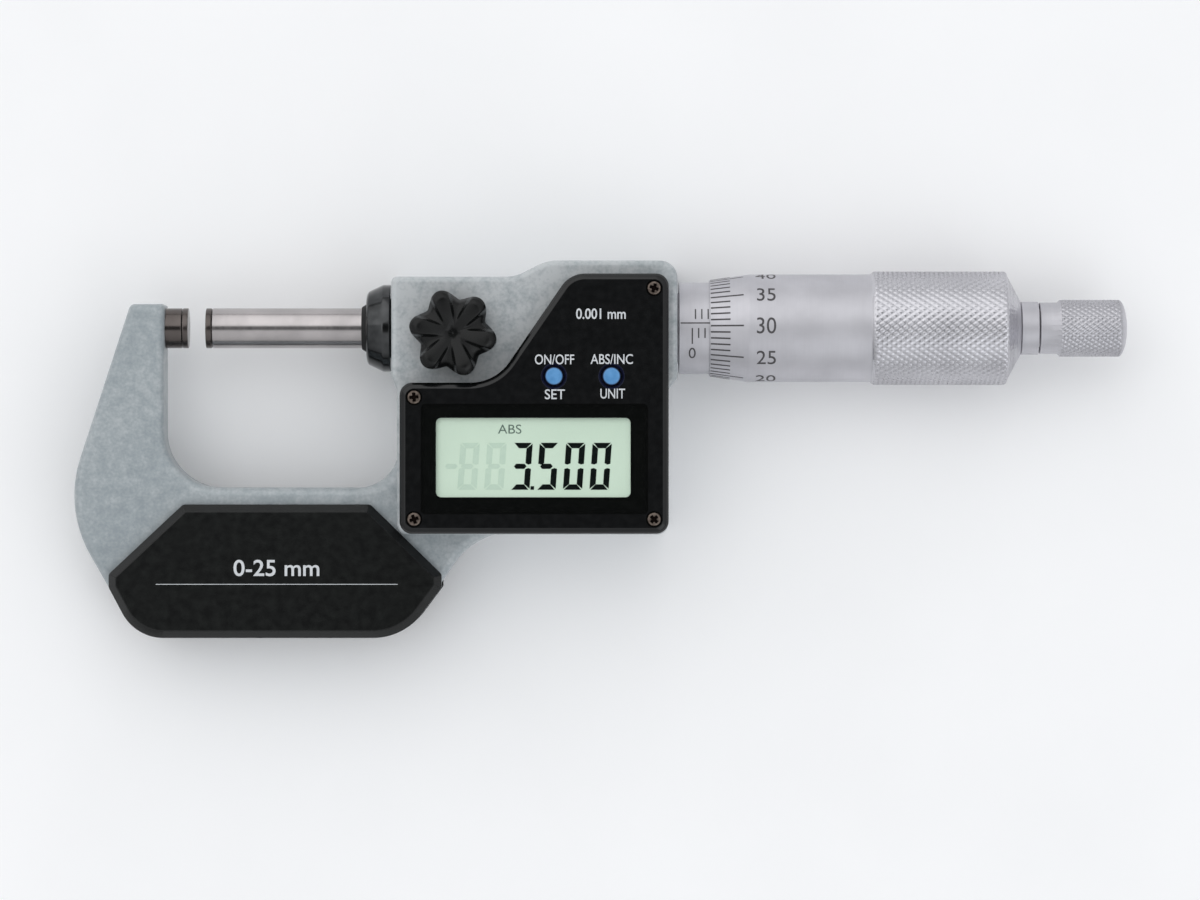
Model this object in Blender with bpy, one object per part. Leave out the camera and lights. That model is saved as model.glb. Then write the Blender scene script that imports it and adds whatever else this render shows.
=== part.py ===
"""Digital outside micrometer, 0 to 25 mm, lying on its back with the display up.

Origin: centre of the anvil's measuring face, on the spindle axis.
+X runs along the spindle towards the thimble, +Y towards the top of the bow's arms,
+Z out of the display. Metres.
"""
import math

import bmesh
import bpy
from mathutils import Vector

MM = 0.001

# Clearances
SEAT_GAP = 0.3 * MM          # between pieces that rest on or in each other
FIT_GAP = 0.1 * MM           # radial gap of pressed, screwed and keyed pieces
RUN_GAP = 0.08 * MM          # radial gap of the spindle in its guides
SLIDE_GAP = 0.2 * MM         # around buttons, covers and turning knobs
WELD = 0.2 * MM              # how far two shapes of one casting run into each other
OVERRUN = 1.0 * MM           # how far a cutting shape runs past what it cuts
BREAK_EDGE = 0.3 * MM        # broken edges of small turned pieces

# Measuring line
READING = 2.8 * MM           # gap between the measuring faces as modelled
CLOSED_PLAY = 0.01 * MM      # the closed spindle stops this far from the anvil
RANGE = 25.0 * MM            # measuring range
SPINDLE_RADIUS = 3.175 * MM
TIP_LENGTH = 0.9 * MM        # carbide discs on anvil and spindle
TIP_JOINT = 0.1 * MM         # braze line behind each disc
ANVIL_SEAT_DEPTH = 5.4 * MM
RELIEF_PLACE = 6.0 * MM      # groove between guide and screw thread, from the housing's collar
RELIEF_LENGTH = 3.0 * MM
RELIEF_DEPTH = 0.3 * MM
TAPER_START = 0.5 * MM       # the rear taper starts this far before the thimble's floor
TAPER_DROP = 0.6 * MM
TAPER_END = 1.0 * MM         # from the thimble's end
DRILL_POINT = 1.0 * MM

# Bow
BOW_THICKNESS = 9.5 * MM
BOW_EDGE = 1.3 * MM          # rounding of the bow's edges
ARM_INNER_X = -3.6 * MM
ARM_TOP_Y = 3.76 * MM
ARM_TOP_OUTER_X = -8.98 * MM
ARM_TOP_RADIUS = 1.0 * MM
ARM_INNER_RADIUS = 0.45 * MM
BOW_SHOULDER = (-19.53 * MM, -28.6 * MM)
BOW_SHOULDER_RADIUS = 19.1 * MM
BOW_FOOT_LEFT_X = -7.92 * MM
BOW_FOOT_LEFT_RADIUS = 16.5 * MM
BOW_FOOT_RIGHT_X = 34.23 * MM
BOW_FOOT_RIGHT_RADIUS = 15.4 * MM
BOW_BOTTOM_Y = -48.88 * MM
BOW_JOIN_X = 45.7 * MM       # where the bow's right flank meets the housing
BOW_JOIN_RADIUS = 12.4 * MM
THROAT_BOTTOM_Y = -25.27 * MM
THROAT_RIGHT_X = 33.3 * MM
THROAT_RADIUS = 8.9 * MM
BOW_ROOT = (24.8 * MM, 13.35 * MM)  # how far the bow reaches into the housing
BOW_ROOT_RADIUS = 1.0 * MM

# Boss and housing, one block of the same casting
BACK_Z = -9.5 * MM
RIM_Z = 8.4 * MM
BLOCK_EDGE = 0.9 * MM
BOSS_FACE_X = 32.4 * MM
BOSS_TOP_Y = 7.96 * MM
BOSS_BOTTOM_Y = -7.6 * MM
BOSS_STEP_Y = -9.9 * MM
HOUSING_TOP_Y = 10.51 * MM
HOUSING_RAMP = (19.5 * MM, 24.53 * MM)   # start and end, from the boss's face
HOUSING_RAMP_RADIUS = 6.7 * MM
HOUSING_CORNER_RADIUS = 2.8 * MM
HOUSING_FOOT_RADIUS = 1.6 * MM
BOSS_TOP_RADIUS = 0.9 * MM
BOSS_FOOT_RADIUS = 0.6 * MM
HOUSING_BOTTOM_Y = -32.6 * MM
HOUSING_LENGTH = 43.55 * MM  # from the boss's face to the right side
SLEEVE_FACE_STEP = 1.5 * MM   # the collar for the sleeve stands out this far
SLEEVE_STEP_Y = -8.0 * MM
SLEEVE_STEP_DROP = 1.9 * MM
SLEEVE_STEP_RADIUS = 1.0 * MM
POCKET_WALL = 2.0 * MM
FLOOR_Z = -7.0 * MM
FRAME_BEARING_RADIUS = 4.9 * MM

# Display cover
COVER_LEFT_X = 33.86 * MM
COVER_OVERHANG = 0.08 * MM   # past the housing's right side
COVER_BOTTOM_Y = -32.46 * MM
COVER_STEP_Y = -8.76 * MM
COVER_TOP_Y = 8.33 * MM
COVER_SLOPE = (0.355, 0.6336)    # its ends, as shares of the cover's width
COVER_CORNER_RADIUS = 2.0 * MM
COVER_SLOPE_RADIUS = (7.4 * MM, 4.46 * MM)
COVER_HEIGHT = 4.4 * MM
COVER_WALL = 1.6 * MM
COVER_CHAMFER = 0.85 * MM
SCREW_INSET = 2.3 * MM       # screw centres from the cover's edges
SCREW_HEAD_RADIUS = 1.1 * MM
SCREW_HEAD_HEIGHT = 0.8 * MM
SCREW_SHANK_RADIUS = 0.7 * MM
SCREW_LENGTH = 8.0 * MM
SCREW_POINT = (0.4 * MM, 0.2 * MM)   # length and depth of the point's cone
SCREW_DOME = (0.2 * MM, 0.25 * MM)   # height and depth of the head's rounded rim
SCREW_POST_RADIUS = 2.2 * MM
GASKET_INSET = 0.45 * MM
GASKET_WIDTH = 0.7 * MM
GASKET_DEPTH = 0.8 * MM

# Window and display
WINDOW_MARGINS = (3.54 * MM, 3.43 * MM)  # left and right, from the cover's sides
WINDOW_Y = -20.73 * MM
WINDOW_HEIGHT = 16.9 * MM
WINDOW_THICKNESS = 0.8 * MM
WINDOW_RECESS = 0.15 * MM    # the plate lies this far under the cover's face
WINDOW_CORNER = 0.8 * MM
VIEW_BORDER = (2.15 * MM, 2.0 * MM)  # the opening is this much smaller than the window
LCD_BORDER = (1.1 * MM, 0.65 * MM)   # the display is this much smaller than the window
LCD_THICKNESS = 1.7 * MM
SMALL_CORNER = 0.3 * MM      # corners of the blocks inside the housing
ZEBRA_WIDTH = 1.2 * MM
ZEBRA_INSET = 1.5 * MM       # from the display's ends
BOARD_Z = 5.2 * MM
BOARD_THICKNESS = 1.0 * MM
BOARD_MARGIN = 3.0 * MM      # from the pocket's side walls, clear of the screw posts
BOARD_TAB = 0.5132           # its left side, as a share of the cover's width
BOARD_TAB_TOP_Y = -5.4 * MM

# Buttons
BUTTON_SHARES = (0.5739, 0.7875) # of the cover's width
BUTTON_Y = -7.76 * MM
BUTTON_RADIUS = 1.44 * MM
BUTTON_PROUD = 0.3 * MM
BUTTON_FLANGE_RADIUS = 2.2 * MM
BUTTON_FLANGE = 0.5 * MM
BUTTON_TRAVEL = 0.4 * MM
BUTTON_STEM_RADIUS = 0.8 * MM
BUTTON_FACETS = 16
BUTTON_CROWN = ((0.35 * MM, 0.0), (0.1 * MM, 0.2 * MM), (0.0, 0.6 * MM))
BUTTON_FUNNEL = 0.35 * MM    # depth of the chamfer around each button
BUTTON_RING_RADIUS = 2.03 * MM
SWITCH_SIZE = 3.0 * MM
SWITCH_HEIGHT = 1.6 * MM
PLUNGER_HEIGHT = 0.4 * MM
PLUNGER_RADIUS = 0.75 * MM

# Spindle clamp
CLAMP_X = 42.25 * MM
CLAMP_Y = -1.0 * MM
CLAMP_PRESS = 0.25 * MM      # half a turn of a 0.5 mm thread
CLAMP_STUD_RADIUS = 1.5 * MM
CLAMP_PIN_RADIUS = 1.4 * MM
CLAMP_PIN_TOP_Z = 5.2 * MM
CLAMP_PIN_BASE_Z = 2.475 * MM
CLAMP_HOLE_Z = 1.0 * MM
KNOB_TIP_RADIUS = 6.9 * MM
KNOB_VALLEY_RADIUS = 5.35 * MM
KNOB_LOBES = 6
KNOB_LOBE_STEPS = 8
KNOB_TURN = math.radians(-11)
KNOB_HEIGHT = 5.6 * MM
KNOB_COLLAR_RADIUS = 3.4 * MM
KNOB_LIFT = 1.0 * MM         # underside of the lobes over the boss
KNOB_DISH = 1.1 * MM         # depth of the hollow in the middle of the knob
KNOB_GROOVE = 2.1 * MM       # depth of the flutes between the lobes at the rim
KNOB_EDGE = 0.9 * MM         # how far the lobes' tips are rounded down
KNOB_EDGE_START = 0.8        # share of the radius where that rounding starts
KNOB_SKIRT = (0.94, 0.5 * MM)  # share of the outline and height of the lower chamfer
KNOB_SHARES = (1.0, 0.94, 0.82, 0.6, 0.36, 0.14)
KNOB_BOSS_WALL = 1.2 * MM    # over the stud
STUD_SHOULDER = 0.3 * MM     # the stud is this much thinner inside the knob

# Seal at the boss
SEAL_CAP_RADIUS = 6.9 * MM
SEAL_CAP_FRONT_RADIUS = 5.3 * MM
SEAL_CAP_LENGTH = 3.8 * MM
SEAL_CAP_LAND = 1.2 * MM
SEAL_SPIGOT_RADIUS = 4.7 * MM
SEAL_SPIGOT_LENGTH = 2.6 * MM
WIPER_RADIUS = 3.73 * MM
WIPER_NOSE = 0.8 * MM
WIPER_LIP = (0.6 * MM, 0.1 * MM)     # length of the nose's slope, thickness of the lip
SEAL_CAP_BREAK = (0.3 * MM, 0.5 * MM)

# Sleeves and thimble
INNER_SLEEVE_RADIUS = 5.6 * MM
INNER_SLEEVE_SEAT = 7.05 * MM        # how deep it sits in the housing
INNER_SLEEVE_PLAY = 4.8 * MM         # to the thimble's floor with the faces closed
SLEEVE_RADIUS = 7.25 * MM
NUT_LENGTH = 4.0 * MM
NUT_INSET = 0.8 * MM         # from the inner sleeve's end
NUT_SLEEVE_GAP = 1.2 * MM    # between the nut and the outer sleeve
NUT_RADIUS = 6.9 * MM
NUT_SLOT = (1.6 * MM, 0.6 * MM)      # width and depth
SLEEVE_BREAK = 0.4 * MM
ZERO_LINE = 2.35 * MM        # from the housing's collar to the thimble's edge at zero
THIMBLE_BORE = 7.4 * MM
THIMBLE_EDGE_RADIUS = 7.62 * MM
THIMBLE_BEVEL_LENGTH = 6.15 * MM
THIMBLE_RADIUS = 8.53 * MM
KNURL_RADIUS = 9.0 * MM
KNURL_START = 25.5 * MM      # from the thimble's edge
KNURL_END = 2.7 * MM         # from the thimble's end
KNURL_SHOULDER = 0.6 * MM
THIMBLE_LENGTH = 49.3 * MM
THIMBLE_END_WALL = 6.3 * MM
CONE_RADII = (7.7 * MM, 4.35 * MM)
CONE_LENGTH = 1.8 * MM
KNURL_BREAK = (0.45 * MM, 0.25 * MM)
CONE_BREAK = (0.15 * MM, 0.35 * MM)

# Ratchet
NECK_RADIUS = 4.2 * MM
NECK_LENGTH = 2.75 * MM
STEM_RADIUS = 1.6 * MM
STEM_REACH = 12.8 * MM       # past the thimble's end
CAP_RADIUS = 4.52 * MM
CAP_RING_RADIUS = 4.08 * MM
CAP_RING_LENGTH = 2.8 * MM
CAP_LENGTH = 13.9 * MM
CAP_CROWN = 1.4 * MM
CAP_BORE = 3.3 * MM
CAP_END_WALL = 1.3 * MM
CAP_BORE_BREAK = 0.4 * MM
CAP_SHOULDER = 0.5 * MM
CAP_DOME_STEPS = 5
RATCHET_BREAK = 0.1 * MM
STEM_DEPTH = 6.0 * MM        # into the spindle
CLUTCH_LENGTH = 2.0 * MM
CLIP_THICKNESS = 0.6 * MM
CLIP_RIM = 0.2 * MM
SPRING_WIRE = 0.3 * MM
SPRING_TURNS = 4

# Encoder
ROTOR_RADIUS = 6.0 * MM
ROTOR_THICKNESS = 1.3 * MM
BUSH_RADIUS = 4.8 * MM
BUSH_FLANGE_RADIUS = 5.7 * MM
BUSH_FLANGE = 1.4 * MM
STATOR_THICKNESS = 1.2 * MM
STATOR_BORE = 3.7 * MM
KEY_RADIUS = 0.45 * MM
KEY_PLACE = 2.2 * MM         # from the start of the bush
KEYWAY_WIDTH = 1.1 * MM
KEYWAY_DEPTH = 0.9 * MM
ENCODER_SPACE = 9.6 * MM     # between the bearing tube and the inner sleeve

# Battery
BATTERY_PLACE = 12.14 * MM   # from the cover's left side
BATTERY_Y = -21.0 * MM
BATTERY_RADIUS = 5.8 * MM
BATTERY_HEIGHT = 5.4 * MM
CAP_SEAT_WIDTH = 1.0 * MM     # of the shoulder that presses the ring
CAP_HEAD_HEIGHT = 1.2 * MM
CAP_RECESS = 0.15 * MM       # the cap's face over the resting plane
CAP_THREAD_WALL = 0.6 * MM    # around the well for the cell
CAP_THREAD_HEIGHT = 1.9 * MM
CAP_WELL = 0.8 * MM          # how far the cell sinks into the cap
O_RING_HEIGHT = 0.4 * MM
COIN_SLOT = (11.0 * MM, 1.5 * MM, 0.8 * MM)
HOLDER_SIZE = 16.0 * MM
HOLDER_ROOF = 1.2 * MM
HOLDER_CORNER = 1.5 * MM
CAP_COLLAR = 1.2 * MM        # wall of the floor's collar around the cap
CONTACT_WIRE = 0.22 * MM
CONTACT_RADII = (2.0 * MM, 4.6 * MM)
CONTACT_TURNS = 2.5

# Grip plates
PLATE_THICKNESS = 2.05 * MM
PLATE_GAP = 0.25 * MM
PLATE_CHAMFER = 1.2 * MM
PLATE_TOP_Y = -27.9 * MM
PLATE_TOP_X = (-0.51 * MM, 29.03 * MM)
PLATE_SIDE_X = (-12.25 * MM, 40.28 * MM)
PLATE_SIDE_Y = (-38.9 * MM, -41.0 * MM)
PLATE_OVERHANG = 0.1 * MM
PLATE_TOP_RADIUS = 1.0 * MM
PLATE_SIDE_RADIUS = 0.8 * MM

ARC_ERROR = 0.035 * MM       # how far a facet may cut inside a rounded corner
ROUND_FACETS = 36            # thimble, sleeves and what turns in them
SPINDLE_FACETS = 32
CAP_FACETS = 24
INNER_FACETS = 20            # round pieces inside the housing
SMALL_FACETS = 12            # screws and their holes
MIN_RADIUS = 0.05 * MM
SHARP_ANGLE = math.radians(35)
MERGE_DISTANCE = 0.0001 * MM
COIL_STEPS = 10              # facets in each turn of a spring
BOW_HALF = BOW_THICKNESS / 2
COVER_BASE_Z = RIM_Z + SEAT_GAP
COVER_TOP_Z = COVER_BASE_Z + COVER_HEIGHT
COVER_ROOF_Z = COVER_TOP_Z - COVER_WALL
HOUSING_RIGHT_X = BOSS_FACE_X + HOUSING_LENGTH
COVER_RIGHT_X = HOUSING_RIGHT_X + COVER_OVERHANG
COVER_WIDTH = COVER_RIGHT_X - COVER_LEFT_X
COVER_SLOPE_X = [COVER_LEFT_X + share * COVER_WIDTH for share in COVER_SLOPE]
BUTTON_X = [COVER_LEFT_X + share * COVER_WIDTH for share in BUTTON_SHARES]
BOARD_TAB_X = COVER_LEFT_X + BOARD_TAB * COVER_WIDTH
WINDOW_SIZE = (COVER_WIDTH - sum(WINDOW_MARGINS), WINDOW_HEIGHT)
WINDOW_CENTRE = (COVER_LEFT_X + WINDOW_MARGINS[0] + WINDOW_SIZE[0] / 2, WINDOW_Y)
VIEW_SIZE = [size - 2 * border for size, border in zip(WINDOW_SIZE, VIEW_BORDER)]
LCD_SIZE = [size - 2 * border for size, border in zip(WINDOW_SIZE, LCD_BORDER)]
ZEBRA_LENGTH = LCD_SIZE[0] - 2 * ZEBRA_INSET
BATTERY_CENTRE = (COVER_LEFT_X + BATTERY_PLACE, BATTERY_Y)
CAP_THREAD_RADIUS = BATTERY_RADIUS + SLIDE_GAP + CAP_THREAD_WALL
CAP_HEAD_RADIUS = CAP_THREAD_RADIUS + CAP_SEAT_WIDTH
SLEEVE_FACE_X = HOUSING_RIGHT_X + SLEEVE_FACE_STEP
RELIEF_X = SLEEVE_FACE_X + RELIEF_PLACE
INNER_SLEEVE_START_X = SLEEVE_FACE_X - INNER_SLEEVE_SEAT
FRAME_BEARING_X = INNER_SLEEVE_START_X - ENCODER_SPACE
KEY_X = FRAME_BEARING_X + KEY_PLACE
ZERO_LINE_X = SLEEVE_FACE_X + ZERO_LINE
THIMBLE_EDGE_X = ZERO_LINE_X + READING
THIMBLE_END_X = THIMBLE_EDGE_X + THIMBLE_LENGTH
THIMBLE_FLOOR_X = THIMBLE_END_X - THIMBLE_END_WALL
INNER_SLEEVE_END_X = THIMBLE_FLOOR_X - READING - INNER_SLEEVE_PLAY
NUT_END_X = INNER_SLEEVE_END_X - NUT_INSET
NUT_START_X = NUT_END_X - NUT_LENGTH
SLEEVE_END_X = NUT_START_X - NUT_SLEEVE_GAP
CLOSING = READING - CLOSED_PLAY
OPENING = RANGE - READING


def clear_scene():
    for item in list(bpy.data.objects):
        bpy.data.objects.remove(item, do_unlink=True)


def material(name, color, roughness, metallic=0.0, alpha=1.0):
    made = bpy.data.materials.new(name)
    made.use_nodes = True
    shader = made.node_tree.nodes["Principled BSDF"]
    shader.inputs["Base Color"].default_value = (*color, 1.0)
    shader.inputs["Roughness"].default_value = roughness
    shader.inputs["Metallic"].default_value = metallic
    shader.inputs["Alpha"].default_value = alpha
    return made


def make_materials():
    return {
        "paint": material("hammertone_paint", (0.36, 0.40, 0.43), 0.45),
        "steel": material("ground_steel", (0.62, 0.61, 0.58), 0.22, 1.0),
        "satin": material("satin_chrome", (0.66, 0.67, 0.69), 0.38, 1.0),
        "carbide": material("carbide", (0.10, 0.09, 0.085), 0.3, 1.0),
        "black": material("black_plastic", (0.012, 0.013, 0.015), 0.35),
        "knob": material("knob_plastic", (0.02, 0.021, 0.021), 0.5),
        "dark": material("black_oxide", (0.02, 0.021, 0.023), 0.35, 0.6),
        "rubber": material("rubber", (0.015, 0.015, 0.016), 0.8),
        "clear": material("clear_window", (0.8, 0.84, 0.82), 0.05, 0.0, 0.35),
        "display": material("display_glass", (0.60, 0.72, 0.62), 0.3),
        "blue": material("blue_button", (0.05, 0.20, 0.62), 0.4),
        "board": material("circuit_board", (0.02, 0.18, 0.08), 0.5),
        "brass": material("brass", (0.62, 0.44, 0.18), 0.35, 1.0),
        "bronze": material("screw_steel", (0.33, 0.26, 0.18), 0.4, 1.0),
        "nickel": material("nickel_plate", (0.6, 0.58, 0.54), 0.3, 1.0),
    }


def finish(name, bm, look, smooth=False):
    """Turn a bmesh into a named object with outward faces."""
    bmesh.ops.remove_doubles(bm, verts=bm.verts, dist=MERGE_DISTANCE)
    bmesh.ops.recalc_face_normals(bm, faces=bm.faces)
    mesh = bpy.data.meshes.new(name)
    bm.to_mesh(mesh)
    bm.free()
    if smooth:
        mesh.shade_smooth()
        mesh.set_sharp_from_angle(angle=SHARP_ANGLE)
    made = bpy.data.objects.new(name, mesh)
    bpy.context.collection.objects.link(made)
    if look is not None:
        mesh.materials.append(look)
    return made


def combine(target, tool, operation):
    """Join a helper shape to a piece, cut it away, or keep what both share."""
    modifier = target.modifiers.new(operation.lower() + "_" + tool.name, "BOOLEAN")
    modifier.operation = operation
    modifier.solver = "EXACT"
    modifier.object = tool
    tool.hide_render = True
    tool.display_type = "WIRE"


def cut(target, tool):
    combine(target, tool, "DIFFERENCE")


def join(target, tool):
    combine(target, tool, "UNION")


def offset_corners(corners, inset):
    """Move each side of a counter-clockwise outline inward, with radii to match."""
    moved = []
    for index, (x, y, radius) in enumerate(corners):
        before = corners[index - 1]
        after = corners[(index + 1) % len(corners)]
        here = Vector((x, y))
        way_in = (here - Vector(before[:2])).normalized()
        way_out = (Vector(after[:2]) - here).normalized()
        normals = Vector((-way_in.y, way_in.x)) + Vector((-way_out.y, way_out.x))
        corner = here + normals * (inset / (1 + way_in.dot(way_out)))
        convex = way_in.cross(way_out) > 0
        rounded = radius - inset if convex else radius + inset
        moved.append((corner.x, corner.y, max(rounded, MIN_RADIUS)))
    return moved


def corner_turns(corners):
    """How far the outline turns at each corner."""
    turns = []
    for index, (x, y, _) in enumerate(corners):
        here = Vector((x, y))
        to_before = Vector(corners[index - 1][:2]) - here
        to_after = Vector(corners[(index + 1) % len(corners)][:2]) - here
        turns.append(math.pi - to_before.angle(to_after))
    return turns


def corner_steps(corners):
    """Facets for each corner, so that all rounds are about equally true."""
    steps = []
    for (_, _, radius), turn in zip(corners, corner_turns(corners)):
        facet = 2 * math.acos(1 - ARC_ERROR / max(radius, 3 * ARC_ERROR))
        steps.append(max(2, math.ceil(turn / facet)))
    return steps


def round_corners(corners, counts):
    """Points of a closed outline whose corners (x, y, radius) become arcs."""
    points = []
    for index, (x, y, radius) in enumerate(corners):
        here = Vector((x, y))
        to_before = Vector(corners[index - 1][:2]) - here
        to_after = Vector(corners[(index + 1) % len(corners)][:2]) - here
        turn = math.pi - to_before.angle(to_after)
        reach = radius * math.tan(turn / 2)
        reach = min(reach, 0.49 * to_before.length, 0.49 * to_after.length)
        start = here + to_before.normalized() * reach
        end = here + to_after.normalized() * reach
        steps = counts[index]
        middle = (to_before.normalized() + to_after.normalized()).normalized()
        centre = here + middle * (reach / math.tan(turn / 2) / math.cos(turn / 2))
        first = start - centre
        sweep = first.angle_signed(end - centre)
        for step in range(steps + 1):
            angle = -sweep * step / steps
            swing = Vector((first.x * math.cos(angle) - first.y * math.sin(angle),
                            first.x * math.sin(angle) + first.y * math.cos(angle)))
            points.append(centre + swing)
    return points


def stack(name, corners, levels, look=None):
    """A solid with one outline at several heights: levels are (z, inset) pairs."""
    bm = bmesh.new()
    rings = []
    counts = corner_steps(corners)
    for z, inset in levels:
        outline = round_corners(offset_corners(corners, inset), counts)
        rings.append([bm.verts.new((p.x, p.y, z)) for p in outline])
    for low, high in zip(rings, rings[1:]):
        for index in range(len(low)):
            after = (index + 1) % len(low)
            bm.faces.new((low[index], low[after], high[after], high[index]))
    bm.faces.new(list(reversed(rings[0])))
    bm.faces.new(rings[-1])
    return finish(name, bm, look)


def rounded_levels(bottom, top, edge, steps=2):
    """Levels of a slab whose upper and lower edges are quarter rounds."""
    lower = []
    upper = []
    for step in range(steps + 1):
        angle = math.pi / 2 * step / steps
        inset = edge * (1 - math.sin(angle))
        rise = edge * (1 - math.cos(angle))
        lower.append((bottom + rise, inset))
        upper.append((top - rise, inset))
    return lower + list(reversed(upper))


def box_corners(centre, size, radius):
    x, y = centre
    half_x, half_y = size[0] / 2, size[1] / 2
    return [(x - half_x, y - half_y, radius), (x + half_x, y - half_y, radius),
            (x + half_x, y + half_y, radius), (x - half_x, y + half_y, radius)]


def turned(name, profile, look=None, facets=ROUND_FACETS, solid=False, upright_at=None):
    """Spin a profile of (along, radius) points about X, or about Z at a given place.

    A solid profile starts and ends on the axis; any other is a closed loop.
    """
    bm = bmesh.new()
    points = [bm.verts.new((along, 0.0, radius)) for along, radius in profile]
    pairs = list(zip(points, points[1:]))
    if not solid:
        pairs.append((points[-1], points[0]))
    edges = [bm.edges.new(pair) for pair in pairs]
    bmesh.ops.spin(bm, geom=points + edges, cent=(0, 0, 0), axis=(1, 0, 0),
                   angle=math.tau, steps=facets, use_merge=True)
    made = finish(name, bm, look, smooth=True)
    if upright_at is not None:
        made.location = (upright_at[0], upright_at[1], 0.0)
        made.rotation_euler = (0.0, -math.pi / 2, 0.0)
    return made


def rod(name, start, end, radius, look=None, facets=SPINDLE_FACETS, upright_at=None):
    profile = [(start, 0.0), (start, radius), (end, radius), (end, 0.0)]
    return turned(name, profile, look, facets, solid=True, upright_at=upright_at)


def coil(name, look, start, end, radii, wire, turns):
    """A wire spring along X whose radius runs from the first value to the second."""
    curve = bpy.data.curves.new(name, "CURVE")
    curve.dimensions = "3D"
    curve.bevel_depth = wire
    curve.bevel_resolution = 0
    curve.use_fill_caps = True
    spline = curve.splines.new("POLY")
    count = int(turns * COIL_STEPS)
    spline.points.add(count)
    for index in range(count + 1):
        share = index / count
        angle = math.tau * turns * share
        radius = radii[0] + (radii[1] - radii[0]) * share
        along = start + (end - start) * share
        spline.points[index].co = (along, radius * math.cos(angle), radius * math.sin(angle), 1.0)
    made = bpy.data.objects.new(name, curve)
    bpy.context.collection.objects.link(made)
    curve.materials.append(look)
    return made


def bow_corners():
    housing_y = HOUSING_BOTTOM_Y + 2 * WELD
    wall_x = THROAT_RIGHT_X + WELD
    root_x = wall_x + BOW_ROOT[0]
    root_y = THROAT_BOTTOM_Y + BOW_ROOT[1]
    return [
        (ARM_TOP_OUTER_X, ARM_TOP_Y, ARM_TOP_RADIUS),
        (*BOW_SHOULDER, BOW_SHOULDER_RADIUS),
        (BOW_FOOT_LEFT_X, BOW_BOTTOM_Y, BOW_FOOT_LEFT_RADIUS),
        (BOW_FOOT_RIGHT_X, BOW_BOTTOM_Y, BOW_FOOT_RIGHT_RADIUS),
        (BOW_JOIN_X, housing_y, BOW_JOIN_RADIUS),
        (root_x, housing_y, BOW_ROOT_RADIUS),
        (root_x, root_y, BOW_ROOT_RADIUS),
        (wall_x, root_y, BOW_ROOT_RADIUS),
        (wall_x, THROAT_BOTTOM_Y, THROAT_RADIUS),
        (ARM_INNER_X, THROAT_BOTTOM_Y, THROAT_RADIUS),
        (ARM_INNER_X, ARM_TOP_Y, ARM_INNER_RADIUS),
    ]


def block_corners():
    return [
        (THROAT_RIGHT_X, HOUSING_BOTTOM_Y, HOUSING_FOOT_RADIUS),
        (HOUSING_RIGHT_X, HOUSING_BOTTOM_Y, HOUSING_FOOT_RADIUS),
        (HOUSING_RIGHT_X, SLEEVE_STEP_Y - SLEEVE_STEP_DROP, SLEEVE_STEP_RADIUS),
        (SLEEVE_FACE_X, SLEEVE_STEP_Y, SLEEVE_STEP_RADIUS),
        (SLEEVE_FACE_X, HOUSING_TOP_Y, HOUSING_CORNER_RADIUS),
        (BOSS_FACE_X + HOUSING_RAMP[1], HOUSING_TOP_Y, HOUSING_RAMP_RADIUS),
        (BOSS_FACE_X + HOUSING_RAMP[0], BOSS_TOP_Y, HOUSING_RAMP_RADIUS),
        (BOSS_FACE_X, BOSS_TOP_Y, BOSS_TOP_RADIUS),
        (BOSS_FACE_X, BOSS_BOTTOM_Y, BOSS_FOOT_RADIUS),
        (THROAT_RIGHT_X, BOSS_STEP_Y, BOSS_FOOT_RADIUS),
    ]


def cover_corners():
    low, high = COVER_SLOPE_RADIUS
    return [
        (COVER_LEFT_X, COVER_BOTTOM_Y, COVER_CORNER_RADIUS),
        (COVER_RIGHT_X, COVER_BOTTOM_Y, COVER_CORNER_RADIUS),
        (COVER_RIGHT_X, COVER_TOP_Y, COVER_CORNER_RADIUS),
        (COVER_SLOPE_X[1], COVER_TOP_Y, high),
        (COVER_SLOPE_X[0], COVER_STEP_Y, low),
        (COVER_LEFT_X, COVER_STEP_Y, COVER_CORNER_RADIUS),
    ]


def screw_places():
    left = COVER_LEFT_X + SCREW_INSET
    right = COVER_RIGHT_X - SCREW_INSET
    low = COVER_BOTTOM_Y + SCREW_INSET
    return [(left, low), (right, low), (right, COVER_TOP_Y - SCREW_INSET),
            (left, COVER_STEP_Y - SCREW_INSET)]


def cell_levels():
    """Heights of the cap, its ring, the cell and its contact, from the back upward."""
    cap_face = BACK_Z + CAP_RECESS
    head_top = cap_face + CAP_HEAD_HEIGHT
    ring_base = head_top + FIT_GAP
    ledge = ring_base + O_RING_HEIGHT + FIT_GAP
    thread_top = head_top + CAP_THREAD_HEIGHT
    cell_base = thread_top - CAP_WELL + SEAT_GAP
    cell_top = cell_base + BATTERY_HEIGHT
    return cap_face, head_top, ring_base, ledge, thread_top, cell_base, cell_top


def pocket_shape():
    """The space for the electronics, around the screw posts, the bearing and the cap's collar."""
    above = RIM_Z + COVER_HEIGHT
    space = stack("shape_pocket", offset_corners(cover_corners(), POCKET_WALL),
                  [(FLOOR_Z, 0), (above, 0)])
    for index, place in enumerate(screw_places()):
        cut(space, rod(f"shape_post_{index}", FLOOR_Z - OVERRUN, above + OVERRUN,
                       SCREW_POST_RADIUS, facets=SMALL_FACETS, upright_at=place))
    cut(space, rod("shape_bearing", CLAMP_X, FRAME_BEARING_X, FRAME_BEARING_RADIUS,
                   facets=INNER_FACETS))
    thread_top = cell_levels()[4]
    cut(space, rod("shape_cap_collar", FLOOR_Z - OVERRUN, thread_top - SEAT_GAP,
                   CAP_HEAD_RADIUS + CAP_COLLAR, facets=INNER_FACETS, upright_at=BATTERY_CENTRE))
    return space


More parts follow.
